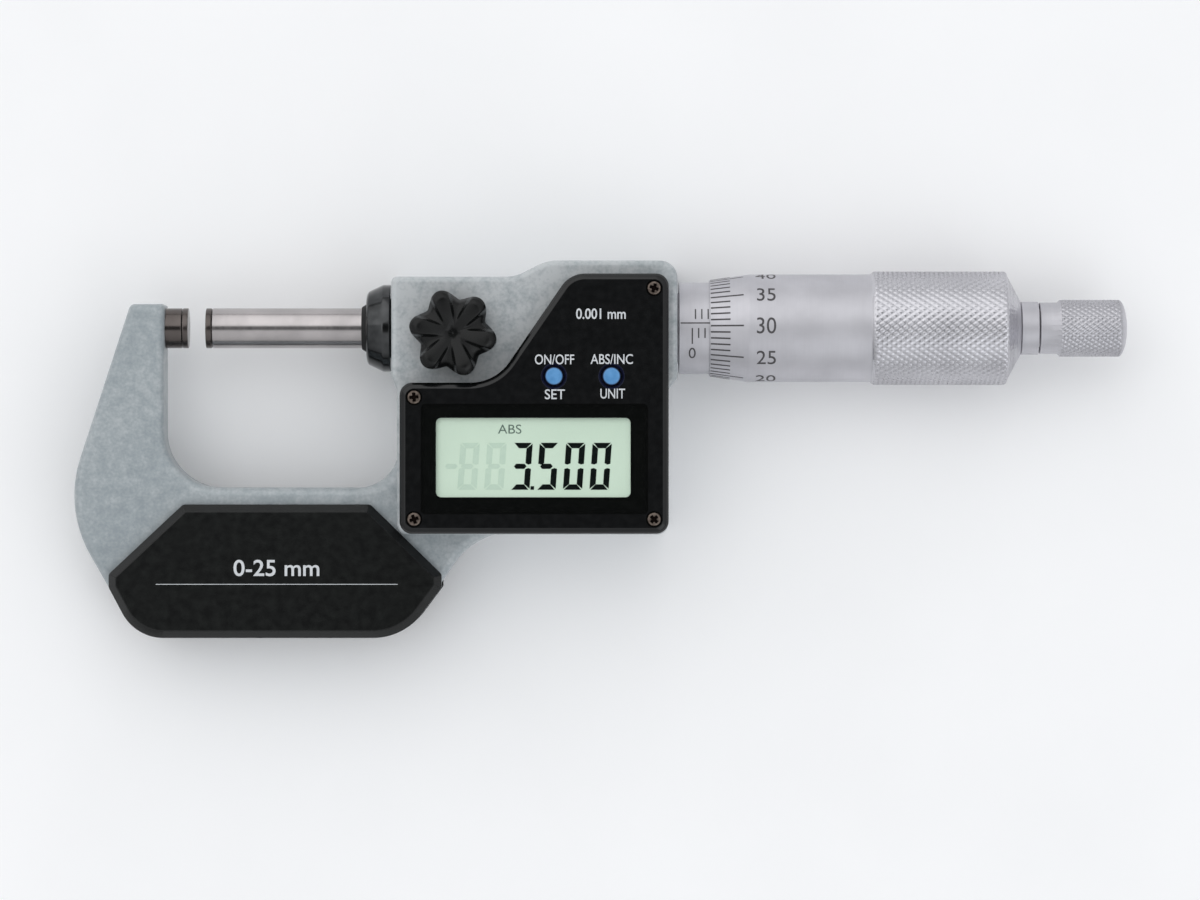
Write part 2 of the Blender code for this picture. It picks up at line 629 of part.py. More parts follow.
def make_frame(look):
    frame = stack("frame", bow_corners(), rounded_levels(-BOW_HALF, BOW_HALF, BOW_EDGE), look)
    join(frame, stack("shape_block", block_corners(), rounded_levels(BACK_Z, RIM_Z, BLOCK_EDGE)))
    cut(frame, pocket_shape())
    cut_gasket_groove(frame)
    cut_measuring_line(frame)
    cut_clamp_and_screw_holes(frame)
    cut_cell_hole(frame)


def cut_measuring_line(frame):
    cut(frame, rod("hole_anvil", ARM_INNER_X - ANVIL_SEAT_DEPTH, 0.0, SPINDLE_RADIUS + FIT_GAP))
    front = BOSS_FACE_X - OVERRUN
    step = BOSS_FACE_X + SEAL_SPIGOT_LENGTH + SEAT_GAP
    end = FRAME_BEARING_X + OVERRUN
    cut(frame, turned("hole_spindle", [
        (front, 0.0), (front, SEAL_SPIGOT_RADIUS + FIT_GAP), (step, SEAL_SPIGOT_RADIUS + FIT_GAP),
        (step, SPINDLE_RADIUS + RUN_GAP), (end, SPINDLE_RADIUS + RUN_GAP), (end, 0.0)],
        facets=SPINDLE_FACETS, solid=True))
    cut(frame, rod("hole_bush", FRAME_BEARING_X, INNER_SLEEVE_START_X, BUSH_RADIUS + FIT_GAP))
    cut(frame, rod("hole_sleeve", INNER_SLEEVE_START_X - SEAT_GAP, SLEEVE_FACE_X + OVERRUN,
                   INNER_SLEEVE_RADIUS + FIT_GAP))


def cut_clamp_and_screw_holes(frame):
    cut(frame, rod("hole_clamp", CLAMP_HOLE_Z, RIM_Z + OVERRUN, CLAMP_STUD_RADIUS + SLIDE_GAP,
                   facets=INNER_FACETS, upright_at=(CLAMP_X, CLAMP_Y)))
    depth = SCREW_LENGTH + SEAT_GAP - COVER_HEIGHT
    for index, place in enumerate(screw_places()):
        cut(frame, rod(f"hole_screw_{index}", RIM_Z - depth, RIM_Z + OVERRUN,
                       SCREW_SHANK_RADIUS + FIT_GAP, facets=SMALL_FACETS, upright_at=place))


def cut_cell_hole(frame):
    ledge, thread_top = cell_levels()[3:5]
    low = BACK_Z - OVERRUN
    high = thread_top + OVERRUN
    cut(frame, turned("hole_cell", [
        (low, 0.0), (low, CAP_HEAD_RADIUS + SLIDE_GAP), (ledge, CAP_HEAD_RADIUS + SLIDE_GAP),
        (ledge, CAP_THREAD_RADIUS + SLIDE_GAP), (high, CAP_THREAD_RADIUS + SLIDE_GAP), (high, 0.0)],
        solid=True, upright_at=BATTERY_CENTRE))


def gasket_ring(name, inset, width, bottom, top, look=None):
    """A flat cord that follows the cover's outline."""
    corners = cover_corners()
    counts = corner_steps(corners)
    outer = round_corners(offset_corners(corners, inset), counts)
    inner = round_corners(offset_corners(corners, inset + width), counts)
    bm = bmesh.new()
    rings = []
    for outline, z in ((outer, bottom), (outer, top), (inner, top), (inner, bottom)):
        rings.append([bm.verts.new((p.x, p.y, z)) for p in outline])
    for ring, following in zip(rings, rings[1:] + rings[:1]):
        for index in range(len(ring)):
            after = (index + 1) % len(ring)
            bm.faces.new((ring[index], ring[after], following[after], following[index]))
    return finish(name, bm, look)


def cut_gasket_groove(frame):
    cut(frame, gasket_ring("groove_gasket", GASKET_INSET - FIT_GAP, GASKET_WIDTH + 2 * FIT_GAP,
                           RIM_Z - GASKET_DEPTH - FIT_GAP, RIM_Z + OVERRUN))


def make_measuring_faces(steel, carbide):
    back = ARM_INNER_X - ANVIL_SEAT_DEPTH + SEAT_GAP
    rod("anvil", back, -TIP_LENGTH - TIP_JOINT, SPINDLE_RADIUS, steel)
    rod("anvil_tip", -TIP_LENGTH, 0.0, SPINDLE_RADIUS, carbide)
    rod("spindle_tip", READING, READING + TIP_LENGTH, SPINDLE_RADIUS, carbide)


def make_spindle(look):
    front = READING + TIP_LENGTH + TIP_JOINT
    rear = THIMBLE_END_X - TAPER_END
    floor = THIMBLE_FLOOR_X
    inner = STEM_RADIUS + FIT_GAP
    slim = SPINDLE_RADIUS - RELIEF_DEPTH
    relief_end = RELIEF_X + RELIEF_LENGTH
    spindle = turned("spindle", [
        (front, 0.0), (front, SPINDLE_RADIUS), (RELIEF_X, SPINDLE_RADIUS),
        (RELIEF_X + RELIEF_DEPTH, slim), (relief_end, slim),
        (relief_end + RELIEF_DEPTH, SPINDLE_RADIUS), (floor - TAPER_START, SPINDLE_RADIUS),
        (rear, SPINDLE_RADIUS - TAPER_DROP), (rear, inner), (floor, inner),
        (floor - DRILL_POINT, 0.0)], look, SPINDLE_FACETS, solid=True)
    start = KEY_X - OPENING - 3 * KEY_RADIUS
    end = KEY_X + CLOSING + 3 * KEY_RADIUS
    centre = ((start + end) / 2, 0.0)
    outline = box_corners(centre, (end - start, KEYWAY_WIDTH), KEYWAY_WIDTH / 2)
    cut(spindle, stack("cut_keyway", outline, [
        (SPINDLE_RADIUS - KEYWAY_DEPTH, 0), (SPINDLE_RADIUS + OVERRUN, 0)]))


def make_seal(dark, rubber):
    rear = BOSS_FACE_X - SEAT_GAP
    front = rear - SEAL_CAP_LENGTH
    spigot = BOSS_FACE_X + SEAL_SPIGOT_LENGTH
    bore = WIPER_RADIUS + FIT_GAP
    turned("seal_cap", [
        (front, bore), (front, SEAL_CAP_FRONT_RADIUS),
        (front + SEAL_CAP_BREAK[0], SEAL_CAP_FRONT_RADIUS + SEAL_CAP_BREAK[1]),
        (rear - SEAL_CAP_LAND, SEAL_CAP_RADIUS), (rear, SEAL_CAP_RADIUS), (rear, SEAL_SPIGOT_RADIUS),
        (spigot, SEAL_SPIGOT_RADIUS), (spigot, bore)], dark, SPINDLE_FACETS)
    inner = SPINDLE_RADIUS + RUN_GAP
    nose = front - WIPER_NOSE
    turned("wiper_seal", [
        (nose, inner), (nose, inner + WIPER_LIP[1]), (nose + WIPER_LIP[0], WIPER_RADIUS),
        (spigot, WIPER_RADIUS), (spigot, inner)], rubber, SPINDLE_FACETS)


def knob_rim(angle):
    """Radius of the knob's outline: round lobes with softer valleys between them."""
    wave = 0.5 + 0.5 * math.cos(KNOB_LOBES * angle)
    return KNOB_VALLEY_RADIUS + (KNOB_TIP_RADIUS - KNOB_VALLEY_RADIUS) * wave ** 0.8


def knob_top(share, angle, height):
    """Height of the knob's face at a share of the rim radius: lobes, flutes and a hollow."""
    valley = (0.5 - 0.5 * math.cos(KNOB_LOBES * angle)) ** 1.6
    flute = KNOB_GROOVE * valley * share ** 1.5
    hollow = KNOB_DISH * (1 - share) ** 2
    edge = KNOB_EDGE * max(0.0, (share - KNOB_EDGE_START) / (1 - KNOB_EDGE_START)) ** 2
    return height - flute - hollow - edge


def knob_heights():
    """Heights of the collar, the lobes' underside, the bore's end and the top."""
    base = RIM_Z + KNOB_LIFT
    top = base + KNOB_HEIGHT
    return RIM_Z + CLAMP_PRESS + SLIDE_GAP, base, top - KNOB_DISH - KNOB_BOSS_WALL, top


def lobed_ring(bm, radius_at, height_at):
    """One ring of the knob's skin; both values are functions of the angle."""
    verts = []
    steps = KNOB_LOBES * KNOB_LOBE_STEPS
    for step in range(steps):
        angle = math.tau * step / steps
        reach = radius_at(angle)
        turn = angle + KNOB_TURN
        verts.append(bm.verts.new((reach * math.cos(turn), reach * math.sin(turn),
                                   height_at(angle))))
    return verts


def make_knob(look):
    collar, base, roof, top = knob_heights()
    bore = CLAMP_STUD_RADIUS - STUD_SHOULDER
    skirt_share, skirt_height = KNOB_SKIRT
    bm = bmesh.new()
    rings = []
    for radius, height in ((bore, roof), (bore, collar), (KNOB_COLLAR_RADIUS, collar),
                           (KNOB_COLLAR_RADIUS, base)):
        rings.append(lobed_ring(bm, lambda angle: radius, lambda angle: height))
    for share, height in ((skirt_share, base), (1.0, base + skirt_height)):
        rings.append(lobed_ring(bm, lambda angle: share * knob_rim(angle), lambda angle: height))
    for share in KNOB_SHARES:
        rings.append(lobed_ring(bm, lambda angle: share * knob_rim(angle),
                                lambda angle: knob_top(share, angle, top)))
    for low, high in zip(rings, rings[1:]):
        for index in range(len(low)):
            after = (index + 1) % len(low)
            bm.faces.new((low[index], low[after], high[after], high[index]))
    bm.faces.new(rings[0])
    bm.faces.new(rings[-1])
    knob = finish("clamp_knob", bm, look, smooth=True)
    knob.location = (CLAMP_X, CLAMP_Y, 0.0)


def make_clamp_stud(look):
    collar, _, roof, _ = knob_heights()
    low = CLAMP_PIN_TOP_Z + FIT_GAP
    shoulder = collar - FIT_GAP
    slim = CLAMP_STUD_RADIUS - STUD_SHOULDER - FIT_GAP
    turned("clamp_stud", [
        (low, 0.0), (low, CLAMP_STUD_RADIUS), (shoulder, CLAMP_STUD_RADIUS), (shoulder, slim),
        (roof - FIT_GAP, slim), (roof - FIT_GAP, 0.0)],
        look, INNER_FACETS, solid=True, upright_at=(CLAMP_X, CLAMP_Y))


def make_clamp_pin(look):
    """The brass plug that the stud presses against the spindle, with a saddle below."""
    pin = rod("clamp_pin", CLAMP_PIN_BASE_Z, CLAMP_PIN_TOP_Z, CLAMP_PIN_RADIUS, look, INNER_FACETS,
              upright_at=(CLAMP_X, CLAMP_Y))
    reach = 2 * CLAMP_PIN_RADIUS
    cut(pin, rod("cut_pin_saddle", CLAMP_X - reach, CLAMP_X + reach,
                 SPINDLE_RADIUS + CLAMP_PRESS + RUN_GAP))


def make_cover(look):
    corners = cover_corners()
    cover = stack("display_cover", corners, [
        (COVER_BASE_Z, 0), (COVER_TOP_Z - COVER_CHAMFER, 0), (COVER_TOP_Z, COVER_CHAMFER)], look)
    hollow = stack("shape_cover_hollow", offset_corners(corners, COVER_WALL),
                   [(COVER_BASE_Z - OVERRUN, 0), (COVER_ROOF_Z, 0)])
    for index, place in enumerate(screw_places()):
        cut(hollow, rod(f"shape_cover_post_{index}", COVER_BASE_Z - 2 * OVERRUN, COVER_TOP_Z,
                        SCREW_POST_RADIUS, facets=SMALL_FACETS, upright_at=place))
    cut(cover, hollow)
    cut_cover_window(cover)
    cut_cover_holes(cover)


def cut_cover_window(cover):
    recess = COVER_TOP_Z - WINDOW_RECESS - WINDOW_THICKNESS - SEAT_GAP
    size = (WINDOW_SIZE[0] + 2 * SLIDE_GAP, WINDOW_SIZE[1] + 2 * SLIDE_GAP)
    cut(cover, stack("cut_window_recess", box_corners(WINDOW_CENTRE, size, WINDOW_CORNER),
                     [(recess, 0), (COVER_TOP_Z + OVERRUN, 0)]))
    cut(cover, stack("cut_view", box_corners(WINDOW_CENTRE, VIEW_SIZE, WINDOW_CORNER),
                     [(COVER_ROOF_Z - OVERRUN, 0), (COVER_TOP_Z, 0)]))


def cut_cover_holes(cover):
    hole = BUTTON_RADIUS + SLIDE_GAP
    low = COVER_ROOF_Z - OVERRUN
    high = COVER_TOP_Z + OVERRUN
    for index, x in enumerate(BUTTON_X):
        cut(cover, turned(f"cut_button_{index}", [
            (low, 0.0), (low, hole), (COVER_TOP_Z - BUTTON_FUNNEL, hole),
            (COVER_TOP_Z, BUTTON_RING_RADIUS), (high, BUTTON_RING_RADIUS), (high, 0.0)],
            facets=INNER_FACETS, solid=True, upright_at=(x, BUTTON_Y)))
    base = COVER_BASE_Z - OVERRUN
    head = COVER_TOP_Z - SCREW_HEAD_HEIGHT - SEAT_GAP
    shank = SCREW_SHANK_RADIUS + FIT_GAP
    seat = SCREW_HEAD_RADIUS + SLIDE_GAP
    for index, place in enumerate(screw_places()):
        cut(cover, turned(f"cut_cover_screw_{index}", [
            (base, 0.0), (base, shank), (head, shank), (head, seat), (high, seat), (high, 0.0)],
            facets=SMALL_FACETS, solid=True, upright_at=place))


def make_cover_screws(look):
    top = COVER_TOP_Z
    neck = top - SCREW_HEAD_HEIGHT
    end = neck - SCREW_LENGTH + SEAT_GAP
    for index, place in enumerate(screw_places()):
        turned(f"cover_screw_{index + 1}", [
            (end, 0.0), (end, SCREW_SHANK_RADIUS - SCREW_POINT[1]),
            (end + SCREW_POINT[0], SCREW_SHANK_RADIUS), (neck, SCREW_SHANK_RADIUS),
            (neck, SCREW_HEAD_RADIUS), (top - SCREW_DOME[0], SCREW_HEAD_RADIUS),
            (top, SCREW_HEAD_RADIUS - SCREW_DOME[1]), (top, 0.0)],
            look, SMALL_FACETS, solid=True, upright_at=place)


def make_display(clear, display, rubber, board):
    top = COVER_TOP_Z - WINDOW_RECESS
    stack("window", box_corners(WINDOW_CENTRE, WINDOW_SIZE, WINDOW_CORNER),
          [(top - WINDOW_THICKNESS, 0), (top, 0)], clear)
    lcd_top = COVER_ROOF_Z - SEAT_GAP
    lcd_base = lcd_top - LCD_THICKNESS
    stack("lcd", box_corners(WINDOW_CENTRE, LCD_SIZE, SMALL_CORNER),
          [(lcd_base, 0), (lcd_top, 0)], display)
    board_top = BOARD_Z + BOARD_THICKNESS
    reach = LCD_SIZE[1] / 2 - ZEBRA_WIDTH
    for name, side in (("zebra_strip_lower", -1), ("zebra_strip_upper", 1)):
        centre = (WINDOW_CENTRE[0], WINDOW_CENTRE[1] + side * reach)
        stack(name, box_corners(centre, (ZEBRA_LENGTH, ZEBRA_WIDTH), SMALL_CORNER),
              [(board_top + SEAT_GAP, 0), (lcd_base - SEAT_GAP, 0)], rubber)
    make_board(board)


def make_board(look):
    """The circuit board: a rectangle under the display with a tab under the buttons."""
    left = COVER_LEFT_X + POCKET_WALL + BOARD_MARGIN
    right = COVER_RIGHT_X - POCKET_WALL - BOARD_MARGIN
    low = COVER_BOTTOM_Y + POCKET_WALL + SEAT_GAP * 2
    shelf = COVER_STEP_Y - POCKET_WALL - SEAT_GAP * 2
    outline = [(left, low), (right, low), (right, BOARD_TAB_TOP_Y), (BOARD_TAB_X, BOARD_TAB_TOP_Y),
               (BOARD_TAB_X, shelf), (left, shelf)]
    stack("circuit_board", [(x, y, SMALL_CORNER) for x, y in outline],
          [(BOARD_Z, 0), (BOARD_Z + BOARD_THICKNESS, 0)], look)


def make_buttons(blue, dark):
    flange_top = COVER_ROOF_Z - SEAT_GAP
    flange_base = flange_top - BUTTON_FLANGE
    switch_base = BOARD_Z + BOARD_THICKNESS + SEAT_GAP
    switch_top = switch_base + SWITCH_HEIGHT
    plunger_top = switch_top + PLUNGER_HEIGHT
    stem = plunger_top + BUTTON_TRAVEL + FIT_GAP
    crown = COVER_TOP_Z + BUTTON_PROUD
    for name, x in zip(("left", "right"), BUTTON_X):
        place = (x, BUTTON_Y)
        rounding = [(crown - drop, BUTTON_RADIUS - inset) for drop, inset in BUTTON_CROWN]
        turned(f"button_{name}", [
            (stem, 0.0), (stem, BUTTON_STEM_RADIUS), (flange_base, BUTTON_STEM_RADIUS),
            (flange_base, BUTTON_FLANGE_RADIUS), (flange_top, BUTTON_FLANGE_RADIUS),
            (flange_top, BUTTON_RADIUS), *rounding, (crown, 0.0)],
            blue, BUTTON_FACETS, solid=True, upright_at=place)
        switch = stack(f"switch_{name}", box_corners(place, (SWITCH_SIZE, SWITCH_SIZE), SMALL_CORNER),
                       [(switch_base, 0), (switch_top, 0)], dark)
        join(switch, rod(f"shape_plunger_{name}", switch_top - WELD, plunger_top, PLUNGER_RADIUS,
                         facets=SMALL_FACETS, upright_at=place))


def make_encoder(board, brass, steel):
    inner = SPINDLE_RADIUS + RUN_GAP
    seat_x = INNER_SLEEVE_START_X - SEAT_GAP
    stator_x = seat_x - STATOR_THICKNESS
    turned("encoder_stator", [
        (stator_x, STATOR_BORE), (stator_x, ROTOR_RADIUS), (seat_x, ROTOR_RADIUS),
        (seat_x, STATOR_BORE)], board, INNER_FACETS)
    rotor_end = stator_x - SEAT_GAP
    rotor_x = rotor_end - ROTOR_THICKNESS
    turned("encoder_rotor", [
        (rotor_x, BUSH_RADIUS + FIT_GAP), (rotor_x, ROTOR_RADIUS), (rotor_end, ROTOR_RADIUS),
        (rotor_end, BUSH_RADIUS + FIT_GAP)], board, INNER_FACETS)
    bush_x = FRAME_BEARING_X + SEAT_GAP
    flange_end = rotor_x - FIT_GAP
    flange_x = flange_end - BUSH_FLANGE
    bush = turned("rotor_bush", [
        (bush_x, inner), (bush_x, BUSH_RADIUS), (flange_x, BUSH_RADIUS), (flange_x, BUSH_FLANGE_RADIUS),
        (flange_end, BUSH_FLANGE_RADIUS), (flange_end, BUSH_RADIUS), (rotor_end, BUSH_RADIUS),
        (rotor_end, inner)], brass, INNER_FACETS)
    cut(bush, rod("hole_key", SPINDLE_RADIUS - OVERRUN, BUSH_RADIUS + OVERRUN, KEY_RADIUS + FIT_GAP,
                  facets=SMALL_FACETS, upright_at=(KEY_X, 0.0)))
    rod("rotor_key", SPINDLE_RADIUS - KEYWAY_DEPTH + SLIDE_GAP, BUSH_RADIUS, KEY_RADIUS, steel,
        SMALL_FACETS, upright_at=(KEY_X, 0.0))


def make_sleeves(steel, satin):
    inner = SPINDLE_RADIUS + RUN_GAP
    turned("inner_sleeve", [
        (INNER_SLEEVE_START_X, inner), (INNER_SLEEVE_START_X, INNER_SLEEVE_RADIUS),
        (INNER_SLEEVE_END_X - SLEEVE_BREAK, INNER_SLEEVE_RADIUS),
        (INNER_SLEEVE_END_X, INNER_SLEEVE_RADIUS - SLEEVE_BREAK), (INNER_SLEEVE_END_X, inner)],
        steel, SPINDLE_FACETS)
    bore = INNER_SLEEVE_RADIUS + SEAT_GAP
    turned("outer_sleeve", [
        (SLEEVE_FACE_X + SEAT_GAP, bore), (SLEEVE_FACE_X + SEAT_GAP, SLEEVE_RADIUS),
        (SLEEVE_END_X - SLEEVE_BREAK, SLEEVE_RADIUS), (SLEEVE_END_X, SLEEVE_RADIUS - SLEEVE_BREAK),
        (SLEEVE_END_X, bore)], satin)
    nut = turned("adjusting_nut", [
        (NUT_START_X, bore), (NUT_START_X, NUT_RADIUS), (NUT_END_X, NUT_RADIUS),
        (NUT_END_X, bore)], steel, INNER_FACETS)
    centre = ((NUT_START_X + NUT_END_X) / 2, 0.0)
    width, depth = NUT_SLOT
    cut(nut, stack("cut_nut_slot", box_corners(centre, (width, 4 * NUT_RADIUS), width / 2),
                   [(NUT_RADIUS - depth, 0), (NUT_RADIUS + OVERRUN, 0)]))


def make_thimble(look):
    edge = THIMBLE_EDGE_X
    end = THIMBLE_END_X
    knurl_start = edge + KNURL_START
    knurl_end = end - KNURL_END
    cone = end - CONE_LENGTH
    floor = THIMBLE_FLOOR_X
    hole = SPINDLE_RADIUS + FIT_GAP
    turned("thimble", [
        (edge, THIMBLE_BORE), (edge, THIMBLE_EDGE_RADIUS), (edge + THIMBLE_BEVEL_LENGTH, THIMBLE_RADIUS),
        (knurl_start, THIMBLE_RADIUS), (knurl_start + KNURL_SHOULDER, KNURL_RADIUS),
        (knurl_end, KNURL_RADIUS), (knurl_end + KNURL_BREAK[0], KNURL_RADIUS - KNURL_BREAK[1]),
        (cone - CONE_BREAK[0], CONE_RADII[0] + CONE_BREAK[1]), (cone, CONE_RADII[0]),
        (end, CONE_RADII[1]),
        (end, hole), (floor, hole), (floor, THIMBLE_BORE)], look)


def make_ratchet(satin, steel):
    neck_x = THIMBLE_END_X + FIT_GAP
    neck_end = neck_x + NECK_LENGTH
    stem_end = neck_x + STEM_REACH
    turned("ratchet_body", [
        (neck_x - STEM_DEPTH, 0.0), (neck_x - STEM_DEPTH, STEM_RADIUS), (neck_x, STEM_RADIUS),
        (neck_x, NECK_RADIUS - RATCHET_BREAK), (neck_x + RATCHET_BREAK, NECK_RADIUS),
        (neck_end, NECK_RADIUS),
        (neck_end, STEM_RADIUS), (stem_end, STEM_RADIUS), (stem_end, 0.0)],
        satin, CAP_FACETS, solid=True)
    make_ratchet_cap(satin, neck_end + SLIDE_GAP)
    make_ratchet_inside(steel, neck_end, stem_end)


def make_ratchet_cap(look, start):
    shoulder = start + CAP_RING_LENGTH
    end = start + CAP_LENGTH
    crown = end - CAP_CROWN
    dome = []
    for step in range(1, CAP_DOME_STEPS):
        angle = math.pi / 2 * step / CAP_DOME_STEPS
        dome.append((crown + CAP_CROWN * math.sin(angle), CAP_RADIUS * math.cos(angle)))
    roof = end - CAP_END_WALL
    turned("ratchet_cap", [
        (start, CAP_BORE), (start, CAP_RING_RADIUS - RATCHET_BREAK),
        (start + RATCHET_BREAK, CAP_RING_RADIUS), (shoulder, CAP_RING_RADIUS),
        (shoulder + CAP_SHOULDER, CAP_RADIUS), (crown, CAP_RADIUS), *dome,
        (end, 0.0), (roof, 0.0), (roof, CAP_BORE - CAP_BORE_BREAK),
        (roof - CAP_BORE_BREAK, CAP_BORE)], look, CAP_FACETS)


def make_ratchet_inside(look, neck_end, stem_end):
    """Clutch ring, spring and clip on the stem inside the cap."""
    inner = STEM_RADIUS + FIT_GAP
    outer = CAP_BORE - SLIDE_GAP
    clutch_x = neck_end + SEAT_GAP
    clutch_end = clutch_x + CLUTCH_LENGTH
    turned("ratchet_clutch", [
        (clutch_x, inner), (clutch_x, outer), (clutch_end, outer), (clutch_end, inner)],
        look, INNER_FACETS)
    clip_end = stem_end - SEAT_GAP
    clip_x = clip_end - CLIP_THICKNESS
    rim = outer - CLIP_RIM
    turned("ratchet_clip", [
        (clip_x, inner), (clip_x, rim), (clip_end, rim), (clip_end, inner)], look, INNER_FACETS)
    middle = inner + SPRING_WIRE + FIT_GAP
    margin = SPRING_WIRE + FIT_GAP
    coil("ratchet_spring", look, clutch_end + margin, clip_x - margin,
         (middle, middle), SPRING_WIRE, SPRING_TURNS)


def make_battery(nickel, black, rubber):
    cap_face, head_top, ring_base, ledge, thread_top, cell_base, cell_top = cell_levels()
    well = BATTERY_RADIUS + SLIDE_GAP
    cap = turned("battery_cap", [
        (cap_face, 0.0), (cap_face, CAP_HEAD_RADIUS - BREAK_EDGE),
        (cap_face + BREAK_EDGE, CAP_HEAD_RADIUS),
        (head_top, CAP_HEAD_RADIUS), (head_top, CAP_THREAD_RADIUS), (thread_top, CAP_THREAD_RADIUS),
        (thread_top, well), (thread_top - CAP_WELL, well), (thread_top - CAP_WELL, 0.0)],
        nickel, CAP_FACETS, solid=True, upright_at=BATTERY_CENTRE)
    length, width, depth = COIN_SLOT
    cut(cap, stack("cut_coin_slot", box_corners(BATTERY_CENTRE, (length, width), SMALL_CORNER),
                   [(cap_face - OVERRUN, 0), (cap_face + depth, 0)]))
    turned("cap_o_ring", [
        (ring_base, CAP_THREAD_RADIUS + FIT_GAP), (ring_base, CAP_HEAD_RADIUS - FIT_GAP),
        (ledge - FIT_GAP, CAP_HEAD_RADIUS - FIT_GAP), (ledge - FIT_GAP, CAP_THREAD_RADIUS + FIT_GAP)],
        rubber, INNER_FACETS, upright_at=BATTERY_CENTRE)
    turned("battery", [
        (cell_base, 0.0), (cell_base, BATTERY_RADIUS - BREAK_EDGE),
        (cell_base + BREAK_EDGE, BATTERY_RADIUS), (cell_top - BREAK_EDGE, BATTERY_RADIUS),
        (cell_top, BATTERY_RADIUS - BREAK_EDGE), (cell_top, 0.0)],
        nickel, INNER_FACETS, solid=True, upright_at=BATTERY_CENTRE)
    make_battery_holder(black, nickel, thread_top, cell_top)


def make_battery_holder(black, nickel, base, cell_top):
    top = BOARD_Z - SEAT_GAP
    roof = top - HOLDER_ROOF
    outline = box_corners(BATTERY_CENTRE, (HOLDER_SIZE, HOLDER_SIZE), HOLDER_CORNER)
    holder = stack("battery_holder", outline, [(base, 0), (top, 0)], black)
    cut(holder, rod("cut_cell_well", base - OVERRUN, roof, BATTERY_RADIUS + SLIDE_GAP,
                    facets=INNER_FACETS, upright_at=BATTERY_CENTRE))
    margin = CONTACT_WIRE + SEAT_GAP
    contact = coil("battery_contact", nickel, cell_top + margin, roof - margin,
                   CONTACT_RADII, CONTACT_WIRE, CONTACT_TURNS)
    contact.location = (BATTERY_CENTRE[0], BATTERY_CENTRE[1], 0.0)
    contact.rotation_euler = (0.0, -math.pi / 2, 0.0)


def plate_corners():
    bottom = BOW_BOTTOM_Y - PLATE_OVERHANG
    return [
        (PLATE_TOP_X[0], PLATE_TOP_Y, PLATE_TOP_RADIUS),
        (PLATE_SIDE_X[0], PLATE_SIDE_Y[0], PLATE_SIDE_RADIUS),
        (PLATE_SIDE_X[0], PLATE_SIDE_Y[1], PLATE_SIDE_RADIUS),
        (BOW_FOOT_LEFT_X - PLATE_OVERHANG, bottom, BOW_FOOT_LEFT_RADIUS),
        (BOW_FOOT_RIGHT_X + PLATE_OVERHANG, bottom, BOW_FOOT_RIGHT_RADIUS),
        (PLATE_SIDE_X[1], PLATE_SIDE_Y[1], PLATE_SIDE_RADIUS),
        (PLATE_SIDE_X[1], PLATE_SIDE_Y[0], PLATE_SIDE_RADIUS),
        (PLATE_TOP_X[1], PLATE_TOP_Y, PLATE_TOP_RADIUS),
    ]


def make_grip_plates(look):
    inner = BOW_HALF + PLATE_GAP
    outer = inner + PLATE_THICKNESS
    stack("grip_plate_front", plate_corners(),
          [(inner, 0), (outer - PLATE_CHAMFER, 0), (outer, PLATE_CHAMFER)], look)
    stack("grip_plate_rear", plate_corners(),
          [(-outer, PLATE_CHAMFER), (-outer + PLATE_CHAMFER, 0), (-inner, 0)], look)


def main():
    clear_scene()
    looks = make_materials()
    make_frame(looks["paint"])
    make_measuring_faces(looks["steel"], looks["carbide"])
    make_spindle(looks["steel"])
    make_seal(looks["dark"], looks["rubber"])
    make_knob(looks["knob"])
    make_clamp_stud(looks["steel"])
    make_clamp_pin(looks["brass"])
    make_cover(looks["black"])
    make_cover_screws(looks["bronze"])
    gasket_ring("cover_gasket", GASKET_INSET, GASKET_WIDTH, RIM_Z - GASKET_DEPTH,
                COVER_BASE_Z - FIT_GAP, looks["rubber"])
    make_display(looks["clear"], looks["display"], looks["rubber"], looks["board"])
    make_buttons(looks["blue"], looks["dark"])
    make_encoder(looks["board"], looks["brass"], looks["steel"])
    make_sleeves(looks["steel"], looks["satin"])
    make_thimble(looks["satin"])
    make_ratchet(looks["satin"], looks["steel"])
    make_battery(looks["nickel"], looks["black"], looks["rubber"])
    make_grip_plates(looks["black"])


main()
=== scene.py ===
"""Looks for the digital outside micrometer, lying on its back under soft studio light."""
import math

import bmesh
import bpy
from mathutils import Matrix, Vector


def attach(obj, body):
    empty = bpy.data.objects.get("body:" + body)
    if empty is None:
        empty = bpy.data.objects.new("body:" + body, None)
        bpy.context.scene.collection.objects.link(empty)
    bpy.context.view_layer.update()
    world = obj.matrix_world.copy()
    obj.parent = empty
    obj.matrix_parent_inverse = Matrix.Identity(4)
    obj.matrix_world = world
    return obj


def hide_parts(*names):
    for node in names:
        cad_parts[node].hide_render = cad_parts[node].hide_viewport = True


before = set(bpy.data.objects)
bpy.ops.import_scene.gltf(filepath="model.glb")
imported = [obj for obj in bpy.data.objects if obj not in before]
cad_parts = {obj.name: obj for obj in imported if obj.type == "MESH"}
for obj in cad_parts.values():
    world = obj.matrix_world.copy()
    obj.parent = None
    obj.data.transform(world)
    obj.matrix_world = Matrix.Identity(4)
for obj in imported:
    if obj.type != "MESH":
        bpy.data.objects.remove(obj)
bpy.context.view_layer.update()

MM = 0.001
FIT_GAP = 0.1 * MM
RUN_GAP = 0.08 * MM
OVERRUN = 1.0 * MM
READING = 2.8 * MM
SPINDLE_RADIUS = 3.175 * MM
TIP_LENGTH = 0.9 * MM
BOW_HALF = 4.75 * MM
BACK_Z = -9.5 * MM
RIM_Z = 8.4 * MM
COVER_BASE_Z = 8.7 * MM
COVER_TOP_Z = 13.1 * MM
COVER_ROOF_Z = 11.5 * MM
WINDOW_CENTRE = (55.0 * MM, -20.73 * MM)
BUTTON_X = (58.06 * MM, 67.07 * MM)
BUTTON_Y = -7.76 * MM
CLAMP = (42.25 * MM, -1.0 * MM)
